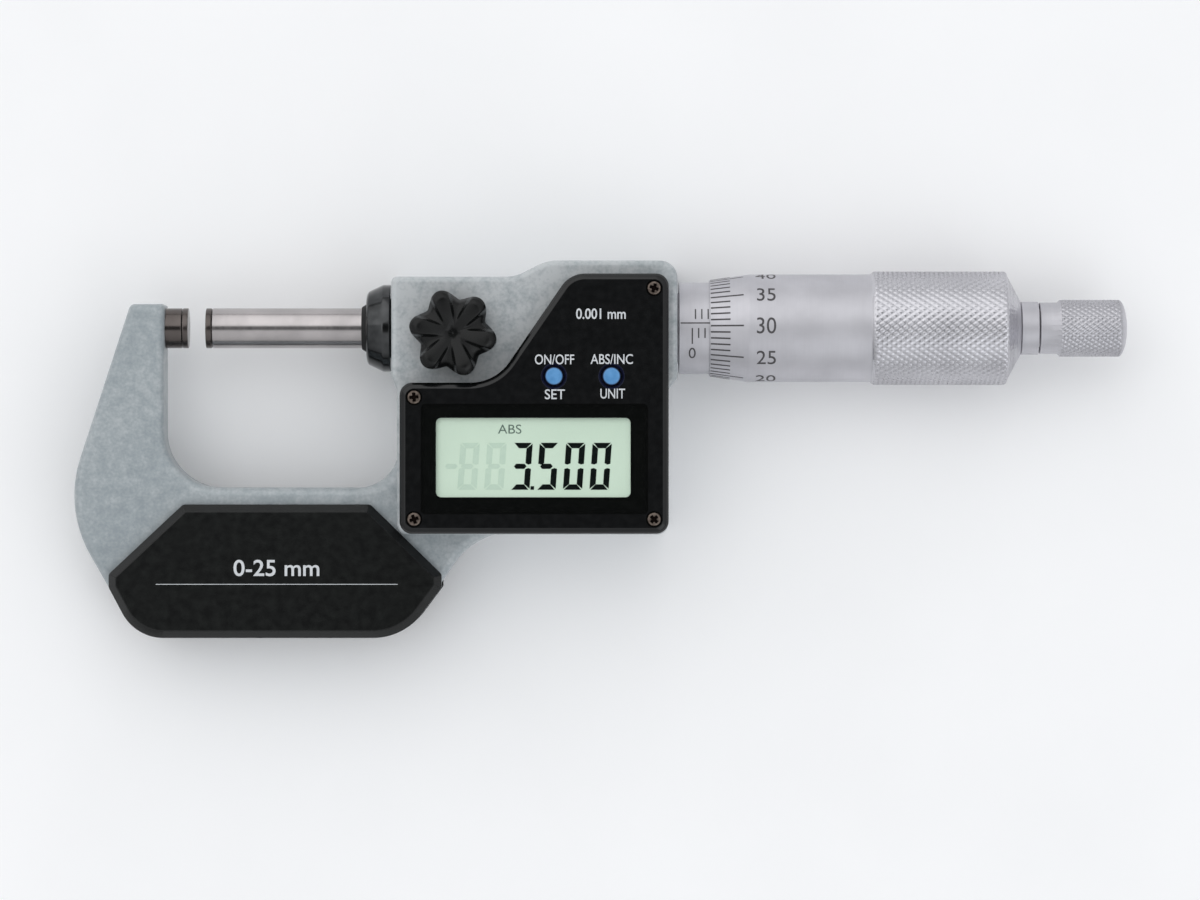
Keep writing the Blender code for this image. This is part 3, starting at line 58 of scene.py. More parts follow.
CELL = (46.0 * MM, -21.0 * MM)
SLEEVE_RADIUS = 7.25 * MM
ZERO_LINE_X = 79.8 * MM
THIMBLE_EDGE_X = 82.6 * MM
THIMBLE_END_X = 131.9 * MM
LCD_TOP_Z = 11.2 * MM
WINDOW_CORNER = 0.8 * MM
FUNNEL_RADIUS = 2.03 * MM
POST_RADIUS = 2.2 * MM
SCREW_HOLE_RADIUS = 0.8 * MM
THIMBLE_FOOT = 7.62 * MM
THIMBLE_RADIUS = 8.53 * MM
THIMBLE_CONE = 6.15 * MM
ARC_ERROR = 0.003 * MM
SIDE_SHARE = 0.49     # a rounding takes less than half of each side
INDEX_ANGLE = math.radians(5.4)
THIRTY_ANGLE = math.radians(1.8)


# shapes


def new_object(name, bm):
    bmesh.ops.remove_doubles(bm, verts=bm.verts, dist=1e-8)
    bmesh.ops.recalc_face_normals(bm, faces=bm.faces)
    mesh = bpy.data.meshes.new(name)
    bm.to_mesh(mesh)
    bm.free()
    made = bpy.data.objects.new(name, mesh)
    bpy.context.scene.collection.objects.link(made)
    return made


def carve(target, *tools, operation="DIFFERENCE"):
    """Apply boolean shapes to a piece and remove them."""
    for tool in tools:
        step = target.modifiers.new("carve", "BOOLEAN")
        step.operation = operation
        step.solver = "EXACT"
        step.object = tool
    shown = target.evaluated_get(bpy.context.evaluated_depsgraph_get())
    mesh = bpy.data.meshes.new_from_object(shown)
    target.modifiers.clear()
    target.data = mesh
    for tool in tools:
        bpy.data.objects.remove(tool)
    return target


def dress(piece, look, body, nodes=(), angle=35.0, smooth=True):
    """Give a piece its material, its body and the CAD nodes that it stands for."""
    piece.data.materials.clear()
    piece.data.materials.append(look)
    if smooth:
        piece.data.shade_smooth()
        piece.data.set_sharp_from_angle(angle=math.radians(angle))
        weigh = piece.modifiers.new("weigh", "WEIGHTED_NORMAL")
        weigh.keep_sharp = True
    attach(piece, body)
    if nodes:
        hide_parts(*nodes)
    return piece


def in_mm(*rows):
    return [tuple(value * MM for value in row) for row in rows]


def along_from(place, *steps):
    """Profile points from steps (along, radius) in mm, counted from a place on the axis."""
    return [(place + along * MM, radius * MM) for along, radius in steps]


def corner_ways(corners):
    """Each corner's place, the ways from it to its neighbours, and its radius."""
    for index, (x, y, radius) in enumerate(corners):
        here = Vector((x, y))
        to_before = Vector(corners[index - 1][:2]) - here
        to_after = Vector(corners[(index + 1) % len(corners)][:2]) - here
        yield here, to_before, to_after, radius


def offset_corners(corners, inset):
    """The same outline, moved inwards on all sides."""
    moved = []
    for here, to_before, to_after, radius in corner_ways(corners):
        way_in = -to_before.normalized()
        way_out = to_after.normalized()
        normals = Vector((-way_in.y, way_in.x)) + Vector((-way_out.y, way_out.x))
        corner = here + normals * (inset / (1 + way_in.dot(way_out)))
        rounded = radius - inset if way_in.cross(way_out) > 0 else radius + inset
        moved.append((corner.x, corner.y, max(rounded, 0.05 * MM)))
    return moved


def corner_steps(corners):
    """How many steps keep each rounded corner within the arc error."""
    steps = []
    for _, to_before, to_after, radius in corner_ways(corners):
        facet = 2 * math.acos(1 - ARC_ERROR / max(radius, 3 * ARC_ERROR))
        steps.append(max(4, math.ceil((math.pi - to_before.angle(to_after)) / facet)))
    return steps


def round_corners(corners, counts):
    """Points of an outline, with so many steps in each rounded corner."""
    points = []
    for (here, to_before, to_after, radius), count in zip(corner_ways(corners), counts):
        turn = math.pi - to_before.angle(to_after)
        shorter = min(to_before.length, to_after.length)
        reach = min(radius * math.tan(turn / 2), SIDE_SHARE * shorter)
        start = here + to_before.normalized() * reach
        end = here + to_after.normalized() * reach
        middle = (to_before.normalized() + to_after.normalized()).normalized()
        centre = here + middle * (reach / math.tan(turn / 2) / math.cos(turn / 2))
        first = start - centre
        sweep = first.angle_signed(end - centre)
        for step in range(count + 1):
            angle = -sweep * step / count
            points.append(centre + Vector((
                first.x * math.cos(angle) - first.y * math.sin(angle),
                first.x * math.sin(angle) + first.y * math.cos(angle))))
    return points


def skin(bm, rings):
    """Faces between rings of vertices, capped at both ends."""
    for low, high in zip(rings, rings[1:]):
        for index in range(len(low)):
            after = (index + 1) % len(low)
            bm.faces.new((low[index], low[after], high[after], high[index]))
    bm.faces.new(list(reversed(rings[0])))
    bm.faces.new(rings[-1])


def stack(name, corners, levels):
    """A solid of one outline at levels of (z, inset)."""
    bm = bmesh.new()
    counts = corner_steps(corners)
    rings = []
    for z, inset in levels:
        outline = round_corners(offset_corners(corners, inset), counts)
        rings.append([bm.verts.new((p.x, p.y, z)) for p in outline])
    skin(bm, rings)
    return new_object(name, bm)


def quarter(radius, steps):
    """Points (inset, drop) of a quarter round from the side to the face."""
    turns = [math.pi / 2 * step / steps for step in range(steps + 1)]
    return [(radius * (1 - math.cos(t)), radius * (1 - math.sin(t))) for t in turns]


def rounded_levels(bottom, top, edge, steps=7):
    """Levels of a solid with a rounded lower and upper edge."""
    upper = [(top - drop, inset) for inset, drop in quarter(edge, steps)]
    lower = [(bottom + drop, inset) for inset, drop in reversed(quarter(edge, steps))]
    return lower + upper


def box_corners(centre, size, radius):
    x, y = centre
    half_x, half_y = size[0] / 2, size[1] / 2
    return [(x - half_x, y - half_y, radius), (x + half_x, y - half_y, radius),
            (x + half_x, y + half_y, radius), (x - half_x, y + half_y, radius)]


def turned(name, profile, facets=128, upright_at=None, ripple=None):
    """Spin a profile of (along, radius) about X, or about Z at a place. Radius 0 closes it."""
    bm = bmesh.new()
    rings = []
    for along, radius in profile:
        ring = []
        for step in range(facets):
            angle = math.tau * step / facets
            reach = radius + (ripple(along, angle) if ripple else 0.0)
            ring.append((along, reach * math.sin(angle), reach * math.cos(angle)))
        rings.append([bm.verts.new(point) for point in (ring if radius > 0 else ring[:1])])
    pairs = list(zip(rings, rings[1:]))
    if len(rings[0]) > 1:
        pairs.append((rings[-1], rings[0]))
    for low, high in pairs:
        if len(low) == len(high) == 1:
            continue
        for index in range(facets):
            after = (index + 1) % facets
            corners = [low[index], low[after]] if len(low) > 1 else [low[0]]
            corners += [high[after], high[index]] if len(high) > 1 else [high[0]]
            bm.faces.new(corners)
    if upright_at is not None:
        bm.transform(Matrix.Translation((*upright_at, 0.0)) @ Matrix.Rotation(-math.pi / 2, 4, "Y"))
    return new_object(name, bm)


def rod(name, start, end, radius, facets=64, upright_at=None):
    return turned(name, [(start, 0.0), (start, radius), (end, radius), (end, 0.0)],
                  facets, upright_at)


def rounded_profile(points, radius):
    """Round the corners of a turned profile's inner points."""
    steps = 4
    made = [points[0]]
    for before, here, after in zip(points, points[1:], points[2:]):
        a, b, c = Vector(before), Vector(here), Vector(after)
        reach = min(radius, (a - b).length * 0.45, (c - b).length * 0.45)
        start = b + (a - b).normalized() * reach
        end = b + (c - b).normalized() * reach
        for step in range(steps + 1):
            t = step / steps
            made.append(tuple(start * (1 - t) ** 2 + b * (2 * t * (1 - t)) + end * t ** 2))
    made.append(points[-1])
    return made


# materials


def tint(red, green, blue):
    """Linear colour from the values a picture shows, 0 to 255."""
    return tuple(((c / 255 + 0.055) / 1.055) ** 2.4 if c > 10 else c / 255 / 12.92
                 for c in (red, green, blue)) + (1.0,)


def feed(tree, socket, value):
    """Link an output to a socket, or set the socket's own value."""
    if isinstance(value, bpy.types.NodeSocket):
        tree.links.new(value, socket)
    else:
        socket.default_value = value


def multiply_add(tree, value, factor, plus):
    node = tree.nodes.new("ShaderNodeMath")
    node.operation = "MULTIPLY_ADD"
    for socket, part in zip(node.inputs, (value, factor, plus)):
        feed(tree, socket, part)
    return node.outputs[0]


def color_ramp(tree, source, stops):
    node = tree.nodes.new("ShaderNodeValToRGB")
    tree.links.new(source, node.inputs["Fac"])
    elements = node.color_ramp.elements
    while len(elements) < len(stops):
        elements.new(0.5)
    for element, (place, color) in zip(elements, stops):
        element.position = place
        element.color = color
    return node.outputs["Color"]


class Look:
    """One procedural material built from object coordinates."""

    def __init__(self, name, metallic=0.0, sockets=None):
        self.material = bpy.data.materials.new(name)
        self.material.use_nodes = True
        self.tree = self.material.node_tree
        self.shader = self.tree.nodes["Principled BSDF"]
        self.shader.inputs["Metallic"].default_value = metallic
        for socket, value in (sockets or {}).items():
            self.shader.inputs[socket].default_value = value
        self.place = self.add("ShaderNodeTexCoord").outputs["Object"]

    def add(self, kind, **inputs):
        node = self.tree.nodes.new(kind)
        for socket, value in inputs.items():
            feed(self.tree, node.inputs[socket], value)
        return node

    def noise(self, scale, detail=3.0, stretch=(1, 1, 1)):
        place = self.add("ShaderNodeMapping", Vector=self.place, Scale=stretch).outputs["Vector"]
        node = self.add("ShaderNodeTexNoise", Vector=place, Scale=scale, Detail=detail)
        return node.outputs["Fac"]

    def cells(self, scale):
        node = self.add("ShaderNodeTexVoronoi", Vector=self.place, Scale=scale)
        return node.outputs["Distance"]

    def ramp(self, source, stops):
        """Colour by a factor; each stop is (place, red, green, blue)."""
        return color_ramp(self.tree, source, [(place, tint(*color)) for place, *color in stops])

    def span(self, source, start, end, low=0.0, high=1.0):
        node = self.add("ShaderNodeMapRange", Value=source)
        for socket, value in zip(("From Min", "From Max", "To Min", "To Max"), (start, end, low, high)):
            node.inputs[socket].default_value = value
        return node.outputs["Result"]

    def level(self, source, low, high):
        """The useful middle of a noise, spread between two values."""
        return self.span(source, 0.3, 0.7, low, high)

    def weigh(self, value, factor, plus):
        return multiply_add(self.tree, value, factor, plus)

    def bump(self, height, distance, strength=1.0):
        node = self.add("ShaderNodeBump", Height=height, Distance=distance, Strength=strength)
        feed(self.tree, self.shader.inputs["Normal"], node.outputs["Normal"])

    def blend(self, above, below, low, high):
        """One colour above a height and another one below it."""
        split = self.add("ShaderNodeSeparateXYZ", Vector=self.place)
        share = self.span(split.outputs["Z"], low, high)
        mix = self.add("ShaderNodeMix")
        mix.data_type = "RGBA"
        factor, first, second = mix.inputs[0], mix.inputs[6], mix.inputs[7]     # those for colours
        for socket, value in ((factor, share), (first, below), (second, above)):
            feed(self.tree, socket, value)
        return mix.outputs[2]

    def base(self, value):
        feed(self.tree, self.shader.inputs["Base Color"], value)

    def rough(self, value):
        feed(self.tree, self.shader.inputs["Roughness"], value)


def mottled(name, dark, light, scale, rough, metallic=0.0, grain=None, sockets=None, recess_shade=None):
    """A two-tone finish; grain is (scale, distance) of a fine bump, recess_shade (colour, low, high) a
    painted shade colour that takes over from high towards low, in recesses and on sides.
    """
    look = Look(name, metallic, sockets)
    spots = look.noise(scale)
    color = look.ramp(spots, [(0.32, *dark), (0.68, *light)])
    # painted shade: a darker colour deeper in recesses
    if recess_shade:
        color = look.blend(color, tint(*recess_shade[0]), recess_shade[1], recess_shade[2])
    look.base(color)
    look.rough(look.level(spots, rough[0], rough[1]))
    if grain:
        look.bump(look.noise(grain[0], 2.0), grain[1])
    return look.material


def hammertone():
    """Grey-blue paint with dimples and mottling; the housing's face is painted lighter than the bow as
    a painted highlight, and broad blotches add painted reflections.
    """
    look = Look("hammertone_paint", 0.0, {
        "Specular IOR Level": 0.5, "Coat Weight": 0.4, "Coat Roughness": 0.22})
    broad = look.noise(640.0, 4.0)
    fine = look.noise(2100.0, 3.0)
    grain = look.weigh(fine, 0.45, look.weigh(broad, 0.55, 0.0))
    # broad blotches: partly the paint's own mottling, partly painted reflections of the lamps on the
    # glossy paint
    mottle_and_sheen = look.weigh(look.noise(55.0, 2.0), 0.5, grain)
    bow = look.ramp(mottle_and_sheen, [(0.55, 142, 151, 156), (0.72, 155, 163, 167), (0.9, 174, 180, 183)])
    housing = look.ramp(mottle_and_sheen, [
        (0.56, 149, 157, 161), (0.7, 169, 175, 178), (0.86, 188, 192, 194)])
    # the housing's face takes the lighter ramp: a painted highlight on the housing, the same paint as
    # the bow
    look.base(look.blend(housing, bow, 5.5 * MM, 8.3 * MM))
    look.rough(look.level(fine, 0.42, 0.54))
    height = look.weigh(look.cells(1300.0), 0.035, look.noise(170.0, 1.0))
    look.bump(height, 0.55 * MM, 0.8)
    return look.material


def rings(name, dark, light, rough):
    """Metal turned or ground about X: fine rings with a little staining."""
    look = Look(name, 1.0)
    lines = look.noise(9000.0, 2.0, (1.0, 0.02, 0.02))
    clouds = look.noise(160.0, 3.0)
    look.base(look.ramp(clouds, [(0.3, *dark), (0.7, *light)]))
    look.rough(look.level(lines, rough[0], rough[1]))
    look.bump(lines, 0.004 * MM, 0.7)
    return look.material


def make_looks():
    dull = {"Specular IOR Level": 0.4}
    faint = {"Specular IOR Level": 0.1}
    chrome = ((190, 189, 194), (204, 203, 208))
    nickel = ((170, 168, 162), (190, 188, 182), 260.0, (0.24, 0.34), 1.0)
    return {
        "paint": hammertone(),
        "steel": rings("ground_steel", (164, 160, 160), (186, 181, 181), (0.16, 0.24)),
        "satin": rings("satin_chrome", *chrome, (0.46, 0.54)),
        "knurl": rings("knurled_chrome", *chrome, (0.24, 0.32)),
        "grip_knurl": rings("knurled_grip", (176, 175, 180), (190, 189, 194), (0.24, 0.32)),
        # a darker copy of the ground steel: painted shade on the anvil
        "shaded_steel": rings("shaded_anvil_steel", (88, 82, 80), (108, 102, 99), (0.14, 0.2)),
        "carbide": rings("carbide_face", (84, 79, 77), (102, 96, 93), (0.18, 0.26)),
        "cover": mottled("cover_plastic", (10, 11, 12), (15, 16, 17), 900.0, (0.13, 0.18),
                         grain=(9000.0, 0.0015 * MM), sockets=dull,
                         # painted shade: near black below the cover's top face, in the window recess,
                         # the button funnels, the screw seats and down the sides
                         recess_shade=((3, 5, 4), 12.2 * MM, 12.9 * MM)),
        "grip": mottled("grip_plastic", (13, 14, 14), (18, 20, 19), 700.0, (0.18, 0.24),
                        grain=(7000.0, 0.002 * MM), sockets=dull),
        "knob": mottled("knob_plastic", (11, 12, 12), (17, 18, 18), 600.0, (0.22, 0.30),
                        grain=(5000.0, 0.006 * MM), sockets={"Specular IOR Level": 0.25}),
        "oxide": mottled("black_oxide", (58, 59, 60), (78, 79, 80), 500.0, (0.08, 0.14), 1.0),
        "rubber": mottled("rubber_black", (14, 14, 15), (22, 22, 23), 900.0, (0.7, 0.85),
                          grain=(4000.0, 0.01 * MM)),
        "clear": mottled("clear_window", (2, 3, 3), (4, 5, 5), 300.0, (0.05, 0.08),
                         sockets={"Alpha": 0.03, "Specular IOR Level": 0.1}),
        "display": mottled("display_glass", (213, 235, 215), (220, 241, 221), 60.0, (0.28, 0.34)),
        "segment": mottled("display_ink", (2, 9, 8), (5, 15, 13), 800.0, (0.4, 0.5), sockets=faint),
        "small_ink": mottled("display_small_ink", (88, 108, 98), (100, 122, 110), 800.0,
                             (0.4, 0.5)),
        "ghost": mottled("display_ghost", (198, 222, 203), (204, 227, 208), 800.0, (0.4, 0.5)),
        "label": mottled("label_ink", (196, 200, 204), (212, 215, 218), 1500.0, (0.45, 0.6)),
        "mark": mottled("scale_ink", (60, 58, 60), (76, 74, 76), 1500.0, (0.5, 0.65)),
        "blue": mottled("blue_button", (74, 134, 188), (92, 152, 206), 900.0, (0.34, 0.42),
                        # painted shade: dark blue on the button's sides below its crown, down in the
                        # funnel
                        grain=(6000.0, 0.005 * MM), recess_shade=((8, 16, 56), 13.24 * MM, 13.36 * MM)),
        # a dark blue painted shade for the funnel round each button
        "funnel_shade": mottled("button_funnel_shade", (6, 10, 34), (9, 15, 44), 900.0, (0.3, 0.4)),
        "bronze": mottled("screw_bronze", (86, 77, 71), (122, 111, 103), 2500.0, (0.32, 0.44), 1.0,
                          # painted shade: darker in the cross recess and down the head's rounded edge
                          recess_shade=((26, 20, 18), 12.6 * MM, 13.05 * MM)),
        # painted shade: darker deeper in the coin slot and up the cap's side
        "coin_cap": mottled("coin_cap_nickel", *nickel, recess_shade=((70, 68, 64), -9.0 * MM, -9.3 * MM)),
        "nickel": mottled("nickel_plate", *nickel),
        "brass": mottled("brass_turned", (176, 140, 74), (200, 164, 92), 700.0, (0.3, 0.4), 1.0),
        "board": mottled("circuit_board", (16, 88, 46), (26, 104, 58), 900.0, (0.35, 0.5)),
        "inner_black": mottled("inner_plastic", (24, 24, 25), (34, 34, 35), 800.0, (0.5, 0.6)),
    }


def floor_look():
    look = Look("pale_floor")
    spots = look.noise(30.0, 4.0)
    look.base(look.ramp(spots, [(0.3, 250, 250, 251), (0.7, 253, 253, 254)]))
    look.rough(look.level(spots, 0.6, 0.75))
    return look.material


# outlines of the casting, the cover and the plates as corners (x, y, radius), and the screws

BOW_CORNERS = in_mm(
    (-8.98, 3.76, 1.0), (-19.53, -28.6, 19.1), (-7.92, -48.88, 16.5), (34.23, -48.88, 15.4),
    (45.7, -32.2, 12.4), (58.3, -32.2, 1.0), (58.3, -11.92, 1.0), (33.5, -11.92, 1.0),
    (33.5, -25.27, 8.9), (-3.6, -25.27, 8.9), (-3.6, 3.76, 0.45))
BLOCK_CORNERS = in_mm(
    (33.3, -32.6, 1.6), (75.95, -32.6, 1.6), (75.95, -9.9, 1.0), (77.45, -8.0, 1.0),
    (77.45, 10.51, 2.8), (56.93, 10.51, 6.7), (51.9, 7.96, 6.7), (32.4, 7.96, 0.9),
    (32.4, -7.6, 0.6), (33.3, -9.9, 0.6))
COVER_CORNERS = in_mm(
    (33.86, -32.46, 2.0), (76.03, -32.46, 2.0), (76.03, 8.33, 2.0), (60.58, 8.33, 4.46),
    (48.83, -8.76, 7.4), (33.86, -8.76, 2.0))
PLATE_CORNERS = in_mm(
    (-0.51, -27.9, 1.0), (-12.25, -38.9, 0.8), (-12.25, -41.0, 0.8), (-8.02, -48.98, 16.5),
    (34.33, -48.98, 15.4), (40.28, -41.0, 0.8), (40.28, -38.9, 0.8), (29.03, -27.9, 1.0))
SCREW_PLACES = in_mm((36.16, -30.16), (73.73, -30.16), (73.73, 6.03), (36.16, -11.06))


# the frame


def pocket():
    """The hollow under the cover, around the screw posts, the bearing and the cell's collar."""
    space = stack("pocket", offset_corners(COVER_CORNERS, 2.0 * MM),
                  [(-7.0 * MM, 0), (12.8 * MM, 0)])
    posts = [rod(f"post_{index}", -8 * MM, 13.8 * MM, POST_RADIUS, 32, place)
             for index, place in enumerate(SCREW_PLACES)]
    bearing = rod("bearing", CLAMP[0], 60.8 * MM, 4.9 * MM, 64)
    collar = rod("collar", -8 * MM, -6.55 * MM, 8.8 * MM, 96, CELL)
    return carve(space, bearing, collar, *posts)


def make_frame(looks):
    body = stack("casting", BOW_CORNERS, rounded_levels(-BOW_HALF, BOW_HALF, 1.3 * MM))
    block = stack("block", BLOCK_CORNERS, rounded_levels(BACK_Z, RIM_Z, 0.9 * MM, 6))
    carve(body, block, operation="UNION")
    bore = SPINDLE_RADIUS + RUN_GAP
    spigot = 4.8 * MM
    spindle_hole = turned("spindle_hole", [
        (31.4 * MM, 0.0), (31.4 * MM, spigot), (35.3 * MM, spigot), (35.3 * MM, bore),
        (61.8 * MM, bore), (61.8 * MM, 0.0)], 96)
    carve(body, pocket(), spindle_hole)
    carve(body, rod("sleeve_hole", 70.1 * MM, 78.5 * MM, 5.7 * MM, 96),
          rod("anvil_hole", -9.0 * MM, 0.0, SPINDLE_RADIUS + FIT_GAP, 96),
          rod("clamp_hole", 1.0 * MM, 9.4 * MM, 1.7 * MM, 48, CLAMP))
    holes = [rod(f"hole_{index}", 4.5 * MM, 9.4 * MM, SCREW_HOLE_RADIUS, 24, place)
             for index, place in enumerate(SCREW_PLACES)]
    cell_hole = turned("cell_hole", [
        (-10.5 * MM, 0.0), (-10.5 * MM, 7.8 * MM), (-7.55 * MM, 7.8 * MM), (-7.55 * MM, 6.8 * MM),
        (-5.25 * MM, 6.8 * MM), (-5.25 * MM, 0.0)], 96, CELL)
    carve(body, cell_hole, *holes)
    dress(body, looks["paint"], "root", ["frame"])


# measuring line


def make_faces(looks):
    soft = 0.12 * MM
    root, end = -8.7 * MM, -1.0 * MM
    anvil = rounded_profile([(root, 0.0), (root, SPINDLE_RADIUS), (end, SPINDLE_RADIUS),
                             (end, 0.0)], soft)
    # the anvil's steel is painted darker than the spindle's: painted shade
    dress(turned("anvil_rod", anvil), looks["shaded_steel"], "root", ["anvil"])
    tip = rounded_profile([(-TIP_LENGTH, 0.0), (-TIP_LENGTH, SPINDLE_RADIUS), (0.0, SPINDLE_RADIUS),
                           (0.0, 0.0)], soft)
    dress(turned("anvil_face", tip), looks["carbide"], "root", ["anvil_tip"])
    tip = [(along + READING + TIP_LENGTH, radius) for along, radius in tip]
    dress(turned("spindle_face", tip), looks["carbide"], "spindle_body", ["spindle_tip"])


def make_spindle(looks):
    front = 3.8 * MM
    inner = 1.7 * MM
    radius = SPINDLE_RADIUS
    relief = radius - 0.3 * MM
    body = turned("spindle_rod", [
        (front, 0.0), (front, radius - 0.1 * MM), (front + 0.1 * MM, radius), (83.45 * MM, radius),
        (83.75 * MM, relief), (86.45 * MM, relief), (86.75 * MM, radius),
        (125.1 * MM, radius), (130.9 * MM, radius - 0.6 * MM), (130.9 * MM, inner),
        (125.6 * MM, inner), (124.6 * MM, 0.0)])
    start, end = 39.45 * MM, 67.14 * MM
    slot = stack("slot", box_corners(((start + end) / 2, 0.0), (end - start, 1.1 * MM), 0.55 * MM),
                 [(radius - 0.9 * MM, 0), (radius + OVERRUN, 0)])
    carve(body, slot)
    dress(body, looks["steel"], "spindle_body", ["spindle"])


def make_seal(looks):
    front, rear = 28.3 * MM, 32.1 * MM
    bore = 3.83 * MM
    cap = rounded_profile([
        (front, bore), (front, 5.3 * MM), (front + 0.3 * MM, 5.8 * MM), (rear - 1.2 * MM, 6.9 * MM),
        (rear, 6.9 * MM), (rear, 4.7 * MM), (35.0 * MM, 4.7 * MM), (35.0 * MM, bore)], 0.15 * MM)
    dress(turned("seal_ring", cap), looks["oxide"], "root", ["seal_cap"])
    inner = SPINDLE_RADIUS + RUN_GAP
    nose = 27.5 * MM
    wiper = rounded_profile([
        (nose, inner), (nose, inner + 0.1 * MM), (nose + 0.6 * MM, 3.73 * MM),
        (35.0 * MM, 3.73 * MM), (35.0 * MM, inner)], 0.08 * MM)
    dress(turned("wiper_ring", wiper), looks["rubber"], "root", ["wiper_seal"])


# clamp knob

KNOB_LOBES = 6
KNOB_TURN = math.radians(-11)
KNOB_TOP = 15.0 * MM


def knob_rim(angle):
    wave = 0.5 + 0.5 * math.cos(KNOB_LOBES * angle)
    return (5.35 + 1.55 * wave ** 0.8) * MM


def smooth_step(value):
    value = max(0.0, min(1.0, value))
    return value * value * (3 - 2 * value)


def knob_height(share, angle):
    """Finger-like lobes with creased sides, sloping flutes between them, and a hollow."""
    period = math.tau / KNOB_LOBES
    off = (angle + period / 2) % period - period / 2
    reach = knob_rim(angle) * share
    away = reach * abs(math.sin(off))
    finger = (0.22 + 1.12 * share) * MM
    flank = smooth_step((away - finger) / (0.42 * MM))
    flute = 2.0 * MM * max(0.0, (share - 0.16) / 0.84) ** 1.15 * flank
    hollow = 1.5 * MM * (1 - share) ** 1.9
    dip = 0.45 * MM * smooth_step(1 - share / 0.2)
    edge = 0.9 * MM * max(0.0, (share - 0.8) / 0.2) ** 2
    crown = 0.14 * MM * (away / finger) ** 2 * (1 - flank)
    return KNOB_TOP - flute - hollow - dip - edge - crown


def make_knob(looks):
    steps = KNOB_LOBES * 40
    angles = [math.tau * step / steps for step in range(steps)]
    bm = bmesh.new()
    rings_made = []

    def ring(reach_at, height_at):
        rings_made.append([bm.verts.new((
            reach_at(a) * math.cos(a + KNOB_TURN), reach_at(a) * math.sin(a + KNOB_TURN),
            height_at(a))) for a in angles])

    for radius, height in ((1.2, 12.7), (1.2, 8.85), (3.4, 8.85), (3.4, 9.4)):
        ring(lambda a: radius * MM, lambda a: height * MM)
    for share, height in ((0.94, 9.4), (0.985, 9.6), (1.0, 9.9)):
        ring(lambda a: share * knob_rim(a), lambda a: height * MM)
    for share in (1.0, 0.995, 0.98, 0.96, 0.93, 0.9, 0.86, 0.82, 0.77, 0.72, 0.66, 0.6, 0.54,
                  0.48, 0.42, 0.36, 0.3, 0.24, 0.19, 0.15, 0.12, 0.09, 0.06, 0.03, 0.01):
        ring(lambda a: share * knob_rim(a), lambda a: knob_height(share, a))
    skin(bm, rings_made)
    bm.transform(Matrix.Translation((*CLAMP, 0.0)))
    dress(new_object("lobed_knob", bm), looks["knob"], "knob", ["clamp_knob"], 48.0)


# display cover


def make_cover(looks):
    chamfer = 0.85 * MM
    soft = 0.12 * MM
    bend_drop, bend_inset = 0.34 * MM, 0.38 * MM     # the chamfer's rounded middle
    wall = 1.6 * MM
    top, base = COVER_TOP_Z, COVER_BASE_Z - OVERRUN
    levels = [(COVER_BASE_Z, 0.1 * MM), (COVER_BASE_Z + 0.1 * MM, 0), (top - chamfer - soft, 0),
              (top - chamfer + soft, 0.04 * MM),
              (top - bend_drop - soft / 2, bend_inset - soft / 2), (top - bend_drop, bend_inset),
              (top - soft / 2, chamfer - soft / 2), (top, chamfer + soft)]
    cover = stack("cover_shell", COVER_CORNERS, levels)
    hollow = stack("hollow", offset_corners(COVER_CORNERS, wall), [(base, 0), (COVER_ROOF_Z, 0)])
    carve(hollow, *[rod(f"post_{index}", 6 * MM, top, POST_RADIUS, 32, place)
                    for index, place in enumerate(SCREW_PLACES)])
    carve(cover, hollow)
    carve(cover,
          stack("recess", box_corners(WINDOW_CENTRE, (35.6 * MM, 17.3 * MM), WINDOW_CORNER),
                [(11.85 * MM, 0), (top + OVERRUN, 0)]),
          stack("view", box_corners(WINDOW_CENTRE, (30.9 * MM, 12.9 * MM), WINDOW_CORNER),
                [(COVER_ROOF_Z - OVERRUN, 0), (top, 0)]))
    high = top + OVERRUN
    low = COVER_ROOF_Z - OVERRUN
    hole = 1.64 * MM
    tools = [turned(f"button_hole_{index}", [
        (low, 0.0), (low, hole), (top - 0.35 * MM, hole), (top, FUNNEL_RADIUS),
        (high, FUNNEL_RADIUS), (high, 0.0)], 64, (x, BUTTON_Y)) for index, x in enumerate(BUTTON_X)]
    seat, seat_radius = 12.0 * MM, 1.3 * MM
    tools += [turned(f"screw_hole_{index}", [
        (base, 0.0), (base, SCREW_HOLE_RADIUS), (seat, SCREW_HOLE_RADIUS), (seat, seat_radius),
        (high, seat_radius), (high, 0.0)], 48, place) for index, place in enumerate(SCREW_PLACES)]
    carve(cover, *tools)
    dress(cover, looks["cover"], "root", ["display_cover"], 28.0)


def make_cover_screws(looks):
    for index, place in enumerate(SCREW_PLACES):
        head = turned(f"cross_screw_{index + 1}", in_mm(
            (4.6, 0.0), (4.6, 0.5), (5.0, 0.7), (12.3, 0.7), (12.3, 1.05), (12.35, 1.1),
            (12.9, 1.1), (13.0, 1.04), (13.07, 0.94), (13.1, 0.85), (13.1, 0.0)), 48, place)
        tools = [stack(f"cross_{index}_{side}", box_corners(place, size, 0.12 * MM),
                       [(12.5 * MM, 0.14 * MM), (13.3 * MM, 0)])
                 for side, size in enumerate(in_mm((1.5, 0.6), (0.6, 1.5)))]
        for tool in tools:
            spin = math.radians(20 + 25 * index)
            tool.data.transform(Matrix.Translation((*place, 0)) @ Matrix.Rotation(spin, 4, "Z")
                                @ Matrix.Translation((-place[0], -place[1], 0)))
        carve(head, *tools)
        dress(head, looks["bronze"], "root", [f"cover_screw_{index + 1}"])


